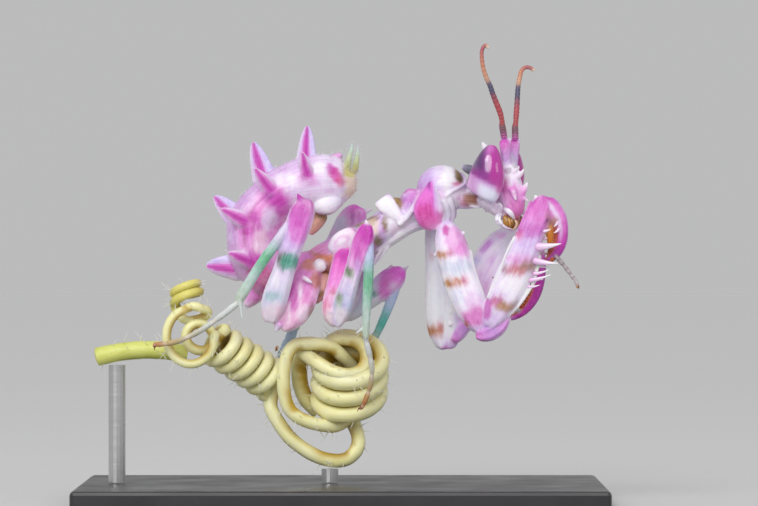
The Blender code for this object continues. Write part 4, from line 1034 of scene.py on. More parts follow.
leg("fore_right",
    coxa="""
        6.76 -1.3 17.81 .66 .6 / 6.92 -1.75 17.16 .98 .74 / 7.18 -2.05 16.12 1.12 .78 /
        7.61 -2.35 14.56 1.14 .74 / 8.12 -2.6 13.2 1.14 .66 / 8.58 -2.7 12.09 .96 .56 /
        8.91 -2.7 11.31 .58 .42""",
    femur="""
        9.55 -3 11.51 .52 .42 / 10.01 -3.05 12.42 .92 .6 / 10.53 -3.1 13.46 1.14 .66 /
        11.05 -3.1 14.56 1.18 .68 / 11.51 -3.1 15.6 1.1 .68 / 11.89 -3.1 16.64 .98 .66 /
        12.24 -3.1 17.62 .86 .62 / 12.64 -3.05 18.59 .84 .56 / 12.94 -3 19.3 .72 .46 /
        13.07 -3 19.7 .46 .34""",
    tibia="""
        13.26 -3 19.44 .5 .36 / 13.65 -3 18.98 .56 .4 / 14.01 -3 18.33 .56 .42 / 14.17 -3 17.55 .46 .4 /
        14.11 -3 16.77 .42 .36 / 13.78 -3 16.12 .4 .32 / 13.36 -3 15.73 .26 .22 / 12.97 -3 15.54 .1 .12""",
    tarsus="""
        13.78 -3.35 15.93 .13 / 14.24 -3.5 15.41 .13 / 14.69 -3.6 14.82 .12 / 15.02 -3.65 14.37 .11 /
        15.15 -3.65 13.97 .09""",
    colours=(coxa_fore_colours, femur_fore_colours, colour_tibia_fore, colour_thin_foot))


def colour_inside(s):
    tint = ramp(s.along, "0 ce968c .2 6e464c .34 be8c5a .42 d68c1a .6 ce8018 .68 602c28 .82 b24e38 1 782c22")
    return tinge(tint, "461e28", step(s.n3, 0.1, 0.6) * 0.25)


form("tibia_inside_right", """
    13.33 -2.85 18.59 .34 .26 / 13.46 -2.85 18 .34 .24 / 13.46 -2.85 17.29 .36 .24 /
    13.59 -2.85 16.64 .28 .22 / 13.46 -2.9 16.05 .24 .2""", colour_inside, sides=10)
form("tibia_inside_left",
     "12.54 1.95 15.08 .3 .24 / 12.42 1.9 14.17 .34 .24 / 12.16 1.8 13.39 .34 .22 / 11.63 1.7 12.68 .24 .2",
     colour_inside, sides=10)


def colour_hip(s):
    tint = ramp(s.along, "0 pink .5 mauve 1 pink")
    tint = tinge(tint, "magenta", dab(s, (9.49, -3.1, 11.83), (0.3, 1.0, 0.3)) * 0.8)
    return tinge(tint, "white", step(np.abs(s.across), 0.75, 1.0) * 0.6)


form("hip_fore_right", """
    8.78 -2.75 10.86 .36 .34 / 9.23 -2.8 10.86 .52 .44 / 9.75 -2.85 11.12 .62 .46 /
    10.27 -2.9 11.57 .56 .42 / 10.66 -2.95 12.09 .3 .26""", colour_hip, relief=relief_petal,
     sides=14, pinch=0.85)
for number, (colour, points) in enumerate((
        ("white", """
            11.12 -3.45 17.23 / 10.6 -3.55 16.19 / 10.27 -3.55 15.28 / 9.88 -3.5 14.37 /
            9.36 -3.4 13.26"""),
        ("white", "12.54 -3.25 14.5 / 12.03 -3.35 13.65 / 11.38 -3.3 12.74 / 10.66 -3.2 12.03"),
        ("dee6d6", "12.8 -3.2 15.99 / 12.61 -3.3 15.08 / 12.29 -3.35 14.17 / 11.77 -3.3 13.33"),
        ("pink", "12.16 -3.3 19.5 / 11.77 -3.4 18.59 / 11.38 -3.45 17.68"),
        ("white", "8.32 -2.1 16.32 / 8.58 -2.4 15.08 / 9.04 -2.65 13.78 / 9.43 -2.75 12.61"),
        ("white", "9.23 -2.9 10.53 / 9.88 -2.95 10.66 / 10.46 -3 11.25 / 10.86 -3 11.89"))):
    rim("fore_rim_%d" % number, points, 0.085, "0 %s 1 %s" % (colour, colour))
for number, (x, y, z) in enumerate(table("""
    7.87 -1.8 17.45 / 8.58 -2.4 14.5 / 6.04 -1.95 16.05 / 7.1 1.75 12.32 / 7.1 1.85 11.51 /
    7.2 1.75 12.64 / 12.48 -3.05 19.76""")):
    form("bead_%d" % number, [(x, y, z - 0.08, 0.13, 0.13), (x, y, z + 0.08, 0.11, 0.11)],
         "0 white 1 white", sides=8)


def colour_tibia_far(s):
    tint = ramp(s.along, "0 pink .4 magenta .75 magenta .9 mauve 1 pale")
    inner = step(s.across, 0.15, 0.6) * step(s.along, 0.15, 0.3) * step(s.along, 0.9, 0.75)
    tint = tinge(tint, "ba5c2c", inner)
    return tinge(tint, "purple", step(s.across, -0.5, -0.9) * 0.5)


leg("fore_left",
    coxa="""
        6.17 1.2 18 .8 .66 / 6.37 1.5 16.77 .98 .76 / 6.5 1.8 15.34 1.06 .78 / 6.57 2.1 13.78 1.12 .76 /
        6.66 2.35 12.22 1.22 .68 / 6.76 2.5 10.92 1.18 .56 / 6.83 2.5 10.01 .72 .42""",
    femur="""
        7.74 2.5 11.12 .55 .45 / 8.26 2.6 12.09 .98 .56 / 8.78 2.7 13.26 1.26 .66 /
        9.39 2.8 14.5 1.46 .72 / 10.14 2.8 15.79 1.46 .72 / 10.86 2.8 16.77 1.24 .66 /
        11.77 2.7 17.42 .86 .56 / 12.48 2.7 17.68 .44 .38""",
    tibia="""
        12.68 2.3 17.03 .4 .36 / 12.84 2 15.99 .48 .4 / 12.87 1.85 15.02 .48 .38 /
        12.77 1.8 14.04 .46 .38 / 12.48 1.7 13.13 .4 .34 / 11.96 1.6 12.42 .32 .28 /
        11.31 1.6 11.96 .22 .22 / 10.79 1.6 11.83 .14 .14""",
    tarsus="11.57 1.5 12.35 .13 / 11.05 1 12.94 .13 / 10.46 .7 13.65 .12 / 9.88 .5 14.37 .1",
    colours=(
        # The far coxa and femur are coloured paler than the near ones: painted light, standing in for light
        # falling on them.
        colour_petal("0 pale .3 ecf0fc .7 f4f6fe 1 eed6f8", """
            5.98 -2.9 11.05 .86 1.6 .46 be7a42 1 / 6.44 -2.9 11.38 .5 1.6 .36 ca7064 .8 /
            7.15 -2.9 10.01 .8 1.6 .6 cca8dc .7 / 6.76 -2.9 9.88 .35 1.6 .3 pink .5 /
            7.61 -2.9 12.09 .4 1.6 .8 mauve .5 / 5.85 -2.2 15.99 .3 1.6 .2 rust .5"""),
        colour_petal("0 pale .3 f0c4f0 .5 f2e2fc .7 ececfc 1 f4beea", """
            9.62 -3.3 16.77 .45 1.4 .55 ce82d6 .8 / 9.23 -3.3 16.38 .4 1.4 .4 c86ecc .75 /
            10.34 -3.3 17.23 .6 1.4 .4 e8aae2 .7 / 8.78 -3.4 15.6 .55 1.4 .6 cecef0 .8 /
            9.36 -3.4 13.78 .4 1.4 1 d860b4 .75 / 10.14 -3.4 15.02 .24 1.4 .6 ce6082 .8 /
            9.81 -3.4 15.73 .5 1.4 .8 e2acde .6"""),
        colour_tibia_far, colour_foot))
form("hip_fore_left", "7.35 2.1 10.46 .34 .3 / 7.8 2.2 11.05 .52 .42 / 8.19 2.3 11.7 .4 .34",
     colour_hip, sides=12)
for number, points in enumerate((
        "5.66 2.1 16.77 / 5.53 2.4 14.82 / 5.53 2.6 12.74 / 5.72 2.55 11.12 / 6.24 2.5 10.14",
        "8.42 2.4 15.67 / 8.97 2.5 16.51 / 9.69 2.5 17.29 / 10.4 2.6 17.71")):
    rim("far_rim_%d" % number, points, 0.09, "0 white 1 pale")


# ---------------------------------------------------------------- middle and hind legs
# Walking legs with petal lobes on coxa and femur, thin banded tibiae, and brown feet that
# grip the tendril.

PALETTE.update(green_spot="5c7a4e")


def colour_tibia(band, half_width, pale="bluish", green="68b884"):
    """A pale tibia with one green band."""
    stops = (f"0 pale .22 {pale} {band - 0.12} {pale} {band} acd0cc {band + 0.14} b8d0c4 "
             ".88 b2c6a6 1 d8ded6")

    def colouring(s):
        tint = tinge(ramp(s.along, stops), green, ridge(s.along, band, half_width) * 0.9)
        return tinge(tint, "pale", step(s.n3, 0.1, 0.5) * 0.3)
    return colouring


hind_femur = colour_petal(
    "0 pale .25 d8d8ec .45 pale .6 lilac .72 d68cd2 .9 cc54b2 1 aa46a0",
    """
        -3.74 -4.2 15.67 .4 1.4 .54 68685c .95 / -3.28 -4.2 15.6 .62 1.4 .6 teal .97 /
        -4.36 -4 13.39 .62 1.4 .3 8ebcb8 .7 / -4.23 -4.2 14.5 .3 1.4 .6 white .6 /
        -4.55 -3.8 12.09 .9 1.4 .85 e8d8e2 .85 / -3.83 -3.8 12.22 .4 1.4 .8 e8c4d8 .7 /
        -2.79 -4.2 17.55 .62 1.4 .9 de70ca .75 / -2.73 -4.2 18.59 .7 1.4 .8 magenta .6""")
hind_coxa = colour_petal(
    "0 d09278 .22 d88eaa .3 e296d0 .55 e69cce .8 e4b6d0 1 e4ced4",
    """
        -2.08 -2 15.6 .9 1.4 .6 d69a7e .75 / -1.62 -2.4 14.37 .45 1.4 .55 c48a62 .8 /
        -2.47 -3.2 12.29 .6 1.4 .6 ecdee8 .7 / -2.21 -2.6 13.85 .4 1.4 .6 d668ba .6 /
        -3.06 -3.2 13.2 .35 1.4 1 magenta .6 / -2.67 -3.2 13.52 .13 1.4 .9 white .7 /
        -1.95 -2.9 12.35 .25 1.4 .6 96826e .7 / -3.38 -3.2 12.35 .12 1.4 .8 white .6""")
leg("hind_right",
    coxa="""
        -1.95 -1 15.34 .72 .6 / -2.21 -1.8 14.56 .92 .64 / -2.54 -2.5 13.65 1.1 .62 /
        -2.93 -2.9 12.74 1.18 .56 / -3.38 -3.1 11.96 1 .48 / -3.83 -3.1 11.38 .54 .36""",
    femur="""
        -4.62 -3.5 11.83 .52 .36 / -4.42 -3.65 12.68 .84 .46 / -4.16 -3.75 13.65 .84 .5 /
        -3.77 -3.85 14.76 .72 .5 / -3.45 -3.9 15.79 .7 .5 / -3.12 -3.9 16.84 .72 .5 /
        -2.79 -3.9 17.88 .86 .5 / -2.47 -3.85 18.85 .84 .46 / -2.27 -3.8 19.5 .56 .36""",
    tibia="""
        -2.54 -3.7 19.18 .24 .24 / -2.99 -3.72 18.53 .28 .24 / -3.51 -3.98 17.81 .3 .26 /
        -4.29 -4.18 16.64 .34 .28 / -5.2 -4.2 15.41 .34 .28 / -5.92 -4.1 14.24 .33 .26 /
        -6.37 -4.02 13.52 .38 .26 / -6.6 -3.98 13.13 .3 .24""",
    tarsus="""
        -6.44 -3.95 13.13 .2 / -7.48 -3.85 12.29 .19 / -8.64 -3.8 11.44 .17 / -9.88 -3.8 10.72 .16 /
        -11.05 -3.75 10.34 .16 / -11.7 -3.6 10.3 .15 / -12.06 -3.5 10.21 .12""",
    colours=(hind_coxa, hind_femur, colour_tibia(0.52, 0.07, "d4cce2"), colour_foot))
leg("hind_left",
    coxa="""
        -.91 1 15.86 .78 .6 / -1.56 2.1 14.62 .8 .64 / -2.41 2.8 13.52 .72 .6 / -2.99 3 12.74 .56 .5 /
        -3.31 3 12.22 .34 .34""",
    femur="""
        -3.19 3.35 12.35 .34 .34 / -2.41 3.5 13.65 .58 .5 / -1.24 3.55 15.34 .62 .5 /
        -.33 3.5 16.84 .74 .5 / .42 3.4 18 .98 .5 / .88 3.4 18.72 .88 .44 / 1.07 3.4 19.08 .58 .34""",
    tibia="""
        .84 4.15 18.59 .24 .24 / .07 4.6 17.23 .3 .28 / -1.3 4.7 14.95 .32 .28 /
        -2.47 4.48 12.8 .32 .28 / -3.19 3.6 11.12 .34 .28""",
    tarsus="-3.25 3.5 10.99 .32 / -3.58 2.7 10.27 .3 / -3.97 1.9 9.49 .27 / -4.23 1.45 8.84 .18",
    colours=(
        hind_coxa,
        # The far femur's knee is a brighter magenta than the near one's: painted light.
        colour_petal("0 pale .3 dee6f4 .6 f0dcf8 .8 f088e2 1 ec68d8", """
            -.13 -3.6 18 .5 1.4 .7 e2eaf8 .95 / .65 -3.6 18.33 .12 1.4 .7 ba54b0 .6 /
            1.1 -3.6 18.59 .12 1.4 .5 be54b4 .5"""),
        colour_tibia(0.62, 0.10), "0 a0becc .7 96b0ba 1 96826e"))
middle_femur = colour_petal(
    "0 pale .3 bluish .5 pale .68 pink .85 magenta 1 magenta",
    """
        .52 -3.6 14.88 .34 1.4 .46 96ac82 .7 / .46 -3.6 15.02 .18 1.4 .32 green_spot .9 /
        -.13 -3.4 13.2 .3 1.4 .48 a0b68c .75 / -.16 -3.4 13.33 .14 1.4 .3 green_spot .7 /
        0 -3.3 12.09 .6 1.4 .6 e6dcde .8 / 1.04 -3.7 15.99 .3 1.4 .9 magenta .6 /
        1.56 -3.7 17.42 .5 1.4 .8 magenta .8 / 1.04 -3.6 15.08 .2 1.4 .8 lilac .6""")
middle_coxa = colour_petal(
    "0 magenta .22 e24cbe .4 e882d0 .58 eab4d8 .8 ecd0d8 1 e4d0cc",
    """
        -.52 -2.9 13.65 .26 1.4 .2 c44254 .9 / -.98 -2.9 12.68 .24 1.4 .7 de8296 .6 /
        .33 -2 15.99 .6 1.4 .5 magenta .7 / -.2 -2.9 13.13 .26 1.4 .5 a0b68c .7 /
        -.58 -2.9 12.09 .6 1.4 .5 e6d8d6 .7""")
leg("middle_right",
    coxa="""
        .39 -1.2 16.64 .62 .55 / .2 -1.7 15.86 .74 .6 / -.07 -2.15 14.88 .74 .6 /
        -.33 -2.5 13.91 .68 .56 / -.55 -2.65 13 .72 .54 / -.65 -2.7 12.35 .7 .5 /
        -.58 -2.7 11.83 .52 .42 / -.46 -2.7 11.51 .26 .26""",
    femur="""
        -.33 -2.9 11.51 .3 .28 / -.16 -2.95 11.96 .54 .4 / .07 -3.05 12.74 .68 .44 /
        .29 -3.15 13.52 .64 .46 / .58 -3.25 14.43 .56 .48 / .91 -3.35 15.47 .58 .48 /
        1.24 -3.4 16.51 .72 .48 / 1.5 -3.4 17.29 .66 .46 / 1.62 -3.4 17.88 .42 .36""",
    tibia="""
        1.76 -3.25 17.68 .22 .22 / 1.79 -3.28 17.03 .26 .26 / 1.79 -3.55 16.32 .3 .27 /
        1.76 -3.6 15.21 .33 .27 / 1.69 -3.6 13.91 .33 .27 / 1.59 -3.57 12.48 .29 .25 /
        1.56 -3.53 11.31 .25 .24 / 1.56 -3.5 10.66 .22 .22""",
    tarsus="""
        1.56 -3.4 10.53 .18 / 1.76 -3.22 9.75 .17 / 1.95 -3 8.78 .16 / 1.89 -2.85 7.8 .15 /
        1.62 -2.7 6.89 .15 / 1.3 -2.6 6.17 .12""",
    colours=(middle_coxa, middle_femur, colour_tibia(0.52, 0.10), colour_foot))
leg("middle_left",
    coxa="""
        1.69 1.2 16.77 .7 .6 / 1.24 2 15.08 .8 .6 / .65 2.4 13.39 .74 .55 / .26 2.6 12.22 .5 .45 /
        .13 2.6 11.77 .3 .3""",
    femur="""
        .39 2.8 11.89 .34 .32 / .98 2.95 12.48 .56 .44 / 1.62 3.05 13.07 .66 .48 /
        2.27 3.12 13.59 .78 .5 / 2.99 3.15 14.17 .92 .52 / 3.58 3.1 14.69 .76 .46 / 3.9 3.1 15.02 .4 .34""",
    tibia="""
        3.64 3.2 14.17 .3 .28 / 3.19 3.15 13 .34 .3 / 2.67 3.1 11.7 .28 .26 / 2.08 3 10.46 .24 .24""",
    tarsus="""
        1.95 2.95 10.27 .18 / 2.15 2.95 9.49 .17 / 2.27 2.95 8.52 .16 / 2.08 2.9 7.54 .15 /
        1.69 2.85 6.76 .13""",
    colours=(
        # The far coxa is a greyed mauve: painted shade for the dark gap it lies in. The far femur's knee is a
        # brighter magenta than the near one's: painted light.
        colour_petal("0 mauve .35 ceb0dc .7 d6d8ec 1 pale"),
        colour_petal("0 pale .3 deeaf6 .5 e2ecf8 .7 eebeee .85 f078e0 1 ec96e6", """
            2.08 -3.4 13.46 .35 1.4 .3 60b29c .9 / 3.31 -3.4 14.76 1 1.4 .75 f06cde .85 /
            2.73 -3.4 13.78 .6 1.4 .85 e85cd2 .8 / 2.99 -3.4 14.17 .3 1.4 .9 pink .6"""),
        colour_tibia(0.62, 0.14, "c4d6f4", "48c4ae"), colour_foot))


spur_colours = ["0 pink .5 pale 1 white"] * 12
spur_colours[0] = "0 magenta 1 be4cb4"
spur_colours[6:10] = ["0 c4d4c8 .6 d6dedc 1 white"] * 4
for number, (*ends, width) in enumerate(table("""
    -2.5 -3.9 19.24 -2.83 -3.85 19.99 .3 / .98 3.4 18.66 2.02 3.4 19.05 .26 /
    .39 3.4 18.2 -.33 3.4 18.53 .28 / -.26 -3 12.35 -1.1 -3 12.42 .34 /
    3.71 3.1 14.82 4.39 3.1 15.31 .2 / 2.99 3.1 14.69 3.25 3.1 15.41 .34 /
    -6.5 -4.1 13 -6.36 -4.15 11.89 .13 / 1.56 -3.55 11.44 .91 -3.6 10.99 .14 /
    -3.06 4.05 11.89 -3.64 4.1 11.51 .14 / 2.08 3.05 10.79 1.56 3.1 10.46 .14 /
    1.69 -3.5 17.68 1.56 -3.5 18.33 .22 / -4.03 -3.3 11.57 -4.29 -3.3 11.05 .28""")):
    blade("spur_%d" % number, ends[:3], ends[3:], width, width * 0.8, spur_colours[number])


def colour_hip_fold(s):
    return tinge(ramp(s.along, "0 white 1 pale"), "605c3c", ridge(s.across, 0, 0.3) * 0.8)


blade("hip_scale", (-2.44, -2.98, 14.56), (-1.85, -2.98, 14.2), 0.15, 0.12,
      "0 e68cd6 .4 white .75 pale 1 pink", leaf=0.4)
blade("middle_hip_fold", (2.79, -0.7, 16.51), (2.05, -1.0, 15.34), 0.24, 0.14, colour_hip_fold, leaf=0.7)


# ---------------------------------------------------------------- skin
# One unbroken cuticle over body, head and legs: thin, waxy and slightly translucent, with
# fine granules and wrinkles. Its colours are pigments in and under the cuticle, with painted
# shade in some folds, hollows and gaps, and painted light below the eyes and on the far legs.

VOXEL = 0.066 * MM
MOST_FACES = 190000


def read(holder, field, width, kind=np.float32):
    """One field of all points, faces or edges of a mesh, a row for each."""
    values = np.empty(len(holder) * width, dtype=kind)
    holder.foreach_get(field, values)
    return values.reshape(-1, width)


form_names = [obj.name for obj, *_ in forms]
for index, (obj, *_) in enumerate(forms):
    where = obj.data.attributes["lies"].data
    values = read(where, "color", 4)
    values[:, 3] = (index + 0.5) / len(forms)
    where.foreach_set("color", values.ravel())
only(*[obj for obj, *_ in forms])
bpy.ops.object.join()
template = bpy.context.object
template.name = "template"
bpy.ops.object.duplicate()
skin = bpy.context.object
skin.name = "skin"
skin.data.attributes.remove(skin.data.attributes["lies"])
reshape(skin, "REMESH", mode="VOXEL", voxel_size=VOXEL)
reshape(skin, "SMOOTH", factor=0.5, iterations=3)
faces = sum(len(face.vertices) - 2 for face in skin.data.polygons)
if faces > MOST_FACES:
    reshape(skin, "DECIMATE", ratio=MOST_FACES / faces)

only(template, skin)
bpy.ops.object.data_transfer(data_type="COLOR_VERTEX", use_create=True, vert_mapping="POLYINTERP_NEAREST",
                             layers_select_src="ALL", layers_select_dst="NAME")
lies = read(skin.data.color_attributes["lies"].data, "color", 4)
count = len(lies)
owner = np.clip((lies[:, 3] * len(forms)).astype(int), 0, len(forms) - 1)
place = read(skin.data.vertices, "co", 3).astype(np.float64) / MM
normals = read(skin.data.vertices, "normal", 3)


def tones(points):
    """Smooth noise at points, from -1 to 1, in three sizes."""
    return np.array([[noise.noise(Vector(p) * scale + Vector(shift)) for p in points]
                     for scale, shift in ((0.9, (3, 1, 7)), (2.4, (9, 4, 2)), (5.5, (1, 8, 5)))])


def survey(lies, place, tone):
    """What a colouring works on."""
    return SimpleNamespace(along=lies[:, 0].astype(float), across=lies[:, 1] * 2.0 - 1.0,
                           facing=lies[:, 2] * 2.0 - 1.0, place=place, n1=tone[0], n2=tone[1], n3=tone[2])


def tinted(s, colouring):
    """The colours of a colouring; one that is text runs along the shape."""
    return ramp(s.along, colouring) if isinstance(colouring, str) else colouring(s)


tint = np.zeros((count, 3))
raised = np.zeros(count)
tone = tones(place)
for index, (_, colouring, relief) in enumerate(forms):
    mine = np.nonzero(owner == index)[0]
    if not len(mine):
        continue
    s = survey(lies[mine], place[mine], tone[:, mine])
    tint[mine] = tinted(s, colouring)
    if relief is not None:
        raised[mine] = relief(s)

# Soften the borders between neighbouring shapes, and lay the relief.
edges = read(skin.data.edges, "vertices", 2, np.int64)
valence = np.bincount(edges.ravel(), minlength=count)[:, None]


def relax(values, rounds):
    """Average each value with its neighbours'."""
    for _ in range(rounds):
        total = np.zeros_like(values)
        np.add.at(total, edges[:, 0], values[edges[:, 1]])
        np.add.at(total, edges[:, 1], values[edges[:, 0]])
        values = 0.5 * values + 0.5 * total / np.maximum(valence, 1)
    return values


border = np.zeros((count, 1))
crossing = owner[edges[:, 0]] != owner[edges[:, 1]]
border[edges[crossing].ravel()] = 1.0
border = np.clip(relax(border, 4) * 2.5, 0, 1)
tint = tint * (1 - border) + relax(tint, 4) * border
tint = relax(tint, 1)
raised = relax(raised[:, None], 2)
place += normals * raised
skin.data.vertices.foreach_set("co", (place * MM).ravel())
colours = stain(skin, np.clip(tint, 0, 1))
bpy.data.objects.remove(template, do_unlink=True)
only(skin)
bpy.ops.object.shade_smooth()

m = finish("waxy_cuticle", (0.8, 0.5, 0.75), 0.42, Subsurface_Weight=0.30, Subsurface_Scale=0.00045,
           Subsurface_Radius=(1.0, 0.55, 0.85), Specular_IOR_Level=0.42,
           Coat_Weight=0.10, Coat_Roughness=0.30)
where = place_in(m)
mottle = grain(m, where, 2600.0, 4.0, 0.6)
wrinkle = grain(m, place_in(m, (1.0, 1.0, 0.45)), 3600.0, 5.0, 0.62)
veins = grain(m, stretched(m, attribute(m, "lies"), (3.2, 17.0, 9.0)), 1.0, 4.0, 0.65)
mottled = mixed(m, spread(m, mottle, 0.3, 0.7, 0.0, 1.0), (0.30, 0.24, 0.32), (0.72, 0.72, 0.76))
veined = mixed(m, spread(m, veins, 0.34, 0.66, 0.0, 1.0), (0.22, 0.17, 0.25), (0.84, 0.84, 0.86))
lift = mixed(m, 0.55, attribute(m, "pigment"), mottled, "SOFT_LIGHT")
creases = bump(m, veins, 0.00006, 0.5, bump(m, wrinkle, 0.00008, 0.6))
dress(m, colour=mixed(m, 0.48, lift, veined, "SOFT_LIGHT"),
      roughness=spread(m, mottle, 0.3, 0.7, 0.34, 0.52),
      bumps=bump(m, cells(m, where, 9000.0), 0.000012, 0.6, creases))
mount(skin, m.made, "cuticle", *[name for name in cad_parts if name.split("_")[0] in (
    "abdomen", "cercus", "metathorax", "mesothorax", "pronotum", "neck", "head", "coxa", "trochanter",
    "femur", "tibia", "tarsus")])


# ---------------------------------------------------------------- compound eyes
# Tall cone-shaped eyes: thousands of fine facets under a clear polished cornea, purple above
# and fading to pale pink below, with pigment showing through in fine upright lines.

def paint(obj, colouring):
    """Store a colouring's result on the piece: its colours, with any painted light and shade."""
    place = read(obj.data.vertices, "co", 3).astype(np.float64) / MM
    s = survey(read(obj.data.attributes["lies"].data, "color", 4), place, tones(place))
    stain(obj, np.clip(tinted(s, colouring), 0, 1))


def joined(name, pieces, material, slot, *nodes):
    """Join like pieces, give them their finish and put them on the model."""
    only(*pieces)
    if len(pieces) > 1:
        bpy.ops.object.join()
    whole = bpy.context.object
    whole.name = name
    bpy.ops.object.shade_smooth()
    mount(whole, material, slot, *nodes)


def colour_eye(s):
    forward = (s.place - np.array(HEAD_CENTRE)) @ np.array(FACE)
    up = s.place[:, 2] - HEAD_CENTRE.z
    above = up + 0.09 + 0.46 * forward
    # Above the purple, near the tip, the colour lightens to pink again: a painted highlight.
    tint = ramp(above, """
        -1.5 f0eefc -.6 e2d4f0 -.14 d0a4d6 .02 ac56a6 .13 8e2e8a .9 822a82 1.5 963e96 2.1 cc6ebe""")
    tint = tinge(tint, "ce92cc", step(forward, -0.45, -1.0) * step(above, 0.05, -0.2) * 0.75)
    tint = tinge(tint, "eaecfe", step(forward, -0.75, -0.2) * step(above, -0.15, -0.55) * 0.85)
    tint = tinge(tint, "46265c", step(forward, 0.0, -0.6) * step(above, 0.35, 0.85) * 0.80)
    tint = tinge(tint, "7e6888", step(forward, -0.55, -0.95) * step(above, 0.3, 0.6) * 0.6)
    tint = tinge(tint, "c854a4", step(forward, 0.30, 0.62) * step(above, -0.95, -0.25) * 0.85)
    return tinge(tint, "b42696", step(forward + 0.12 * s.n2, -0.10, 0.34) * step(above, -0.10, 0.22) * 0.92)


m = finish("compound_eye", (0.45, 0.08, 0.40), 0.16, Specular_IOR_Level=0.6,
           Coat_Weight=0.9, Coat_Roughness=0.05)
lines = grain(m, stretched(m, attribute(m, "lies"), (2.2, 52.0, 0.6)), 1.0, 2.0)
lines = mixed(m, spread(m, lines, 0.35, 0.65, 0.0, 1.0), (0.36, 0.30, 0.38), (0.62, 0.60, 0.64))
dress(m, colour=mixed(m, 0.55, attribute(m, "pigment"), lines, "OVERLAY"),
      bumps=bump(m, cells(m, place_in(m), 26000.0), 0.000004, 0.5))
near_eye = table("""
    8.96 -1.84 19.88 1.02 .58 / 9.03 -1.87 20.02 1.17 .7 / 9.23 -1.95 20.48 1.22 .84 /
    9.39 -2 21.09 1.22 .92 / 9.49 -2 21.78 1.03 .86 / 9.57 -2 22.36 .8 .66 / 9.66 -1.95 22.82 .52 .46 /
    9.7 -1.9 23.07 .28 .26""")
far_eye = [other_side((x - 0.10, y, z + 0.12, wide * 0.96, thick)) for x, y, z, wide, thick in near_eye]
for mark, stations in (("right", near_eye), ("left", far_eye)):
    eye = grow("eye_dome_" + mark, stations, sides=24, hint=RIGHT_SIDE, dome=0.16)
    paint(eye, colour_eye)
    joined("eye_dome_" + mark, [eye], m.made, "eye", "eye_" + mark)


# ---------------------------------------------------------------- feelers
# Thread-like feelers of some thirty short beads on a stouter base, red-brown with a slate
# band half way, and pale curled ends.

BEADS = 31


def colour_feeler(s):
    tint = ramp(s.along, """
        0 ce60be .04 b26096 .1 825868 .16 885c66 .19 b05254 .36 b45058 .42 885262 .45 54506c .52 5c5670
        .56 cea084 .66 ce8c70 .8 b2646c .9 ba7874 .96 debea6 1 f6eadc""")
    return tinge(tint, "3c2830", joints(s, BEADS, 0.16) * 0.25)


def dressed_from_stored_colour(m, texture, amount, dark, light, rough, depth, strength):
    """Dress a finish from its stored colours, with any painted light and shade, and one texture that shades,
    dulls and raises it.
    """
    dress(m, colour=mixed(m, amount, attribute(m, "pigment"), mixed(m, texture, dark, light), "SOFT_LIGHT"),
          roughness=spread(m, texture, *rough), bumps=bump(m, texture, depth, strength))


m = finish("feeler_shell", (0.5, 0.2, 0.18), 0.45, Subsurface_Weight=0.15, Subsurface_Scale=0.0002,
           Subsurface_Radius=(1.0, 0.6, 0.5))
dressed_from_stored_colour(m, grain(m, place_in(m), 12000.0, 3.0), 0.5, (0.25, 0.24, 0.26), (0.75, 0.74, 0.74),
          (0.3, 0.7, 0.36, 0.54), 0.000008, 0.5)
for mark, points in (
        ("right", """
            10.5 -1.4 23.6 .22 / 10.44 -1.5 23.98 .22 / 10.37 -1.6 24.38 .21 / 10.35 -1.7 24.7 .165 /
            10.23 -1.8 25.22 .19 / 9.98 -1.95 25.84 .185 / 9.74 -2.1 26.44 .175 / 9.59 -2.15 26.89 .165 /
            9.34 -2.2 27.44 .155 / 9.14 -2.3 28.03 .145 / 9.04 -2.4 28.68 .135 / 9.04 -2.45 29.18 .13 /
            9.17 -2.48 29.47 .13 / 9.31 -2.5 29.52 .13 / 9.45 -2.5 29.39 .13"""),
        ("left", """
            11.25 -.2 23.53 .22 / 11.25 -.1 23.92 .22 / 11.25 0 24.31 .21 / 11.3 .1 24.67 .165 /
            11.33 .25 25.09 .185 / 11.38 .45 25.69 .18 / 11.43 .7 26.46 .17 / 11.48 .85 27.04 .16 /
            11.58 1 27.59 .15 / 11.7 1.05 28.03 .14 / 11.92 1.08 28.24 .135 / 12.17 1.1 28.26 .13 /
            12.37 1.12 28.18 .13 / 12.51 1.14 28.06 .13""")):
    beads = []
    for index, (x, y, z, radius) in enumerate(smooth_path(points, BEADS * 3 + 1)):
        waist = 0.88 if index % 3 == 0 else 1.03
        beads.append((x, y, z, radius * waist, radius * waist))
    feeler = grow("feeler_" + mark, beads, sides=8, hint=RIGHT_SIDE, level=1)
    paint(feeler, colour_feeler)
    joined("feeler_" + mark, [feeler], m.made, "feeler", "antenna_" + mark)


# ---------------------------------------------------------------- mouthparts
# Below the face: horny golden mandibles between pale plates, and a pair of jointed palps
# that hang in loops on each side.

PALETTE.update(gold="b68032", silver="cec4d6")
m = finish("mouth_horn", (0.5, 0.3, 0.1), 0.3, Subsurface_Weight=0.15, Subsurface_Scale=0.0003,
           Subsurface_Radius=(1.0, 0.6, 0.3), Coat_Weight=0.35, Coat_Roughness=0.18)
dressed_from_stored_colour(m, grain(m, place_in(m, (1.0, 1.0, 0.3)), 5200.0, 4.0), 0.7,
          (0.18, 0.17, 0.18), (0.80, 0.80, 0.80), (0.3, 0.7, 0.22, 0.42), 0.00002, 0.6)


def tube(name, points, radius, colouring, flat=1.0):
    """A soft jointed length: palps, lips and the like."""
    rows = [(*place, radius * swell, radius * swell * flat) for *place, swell in smooth_path(points, 12)]
    piece = grow(name, rows, sides=8, hint=RIGHT_SIDE, level=1)
    paint(piece, colouring)
    return piece


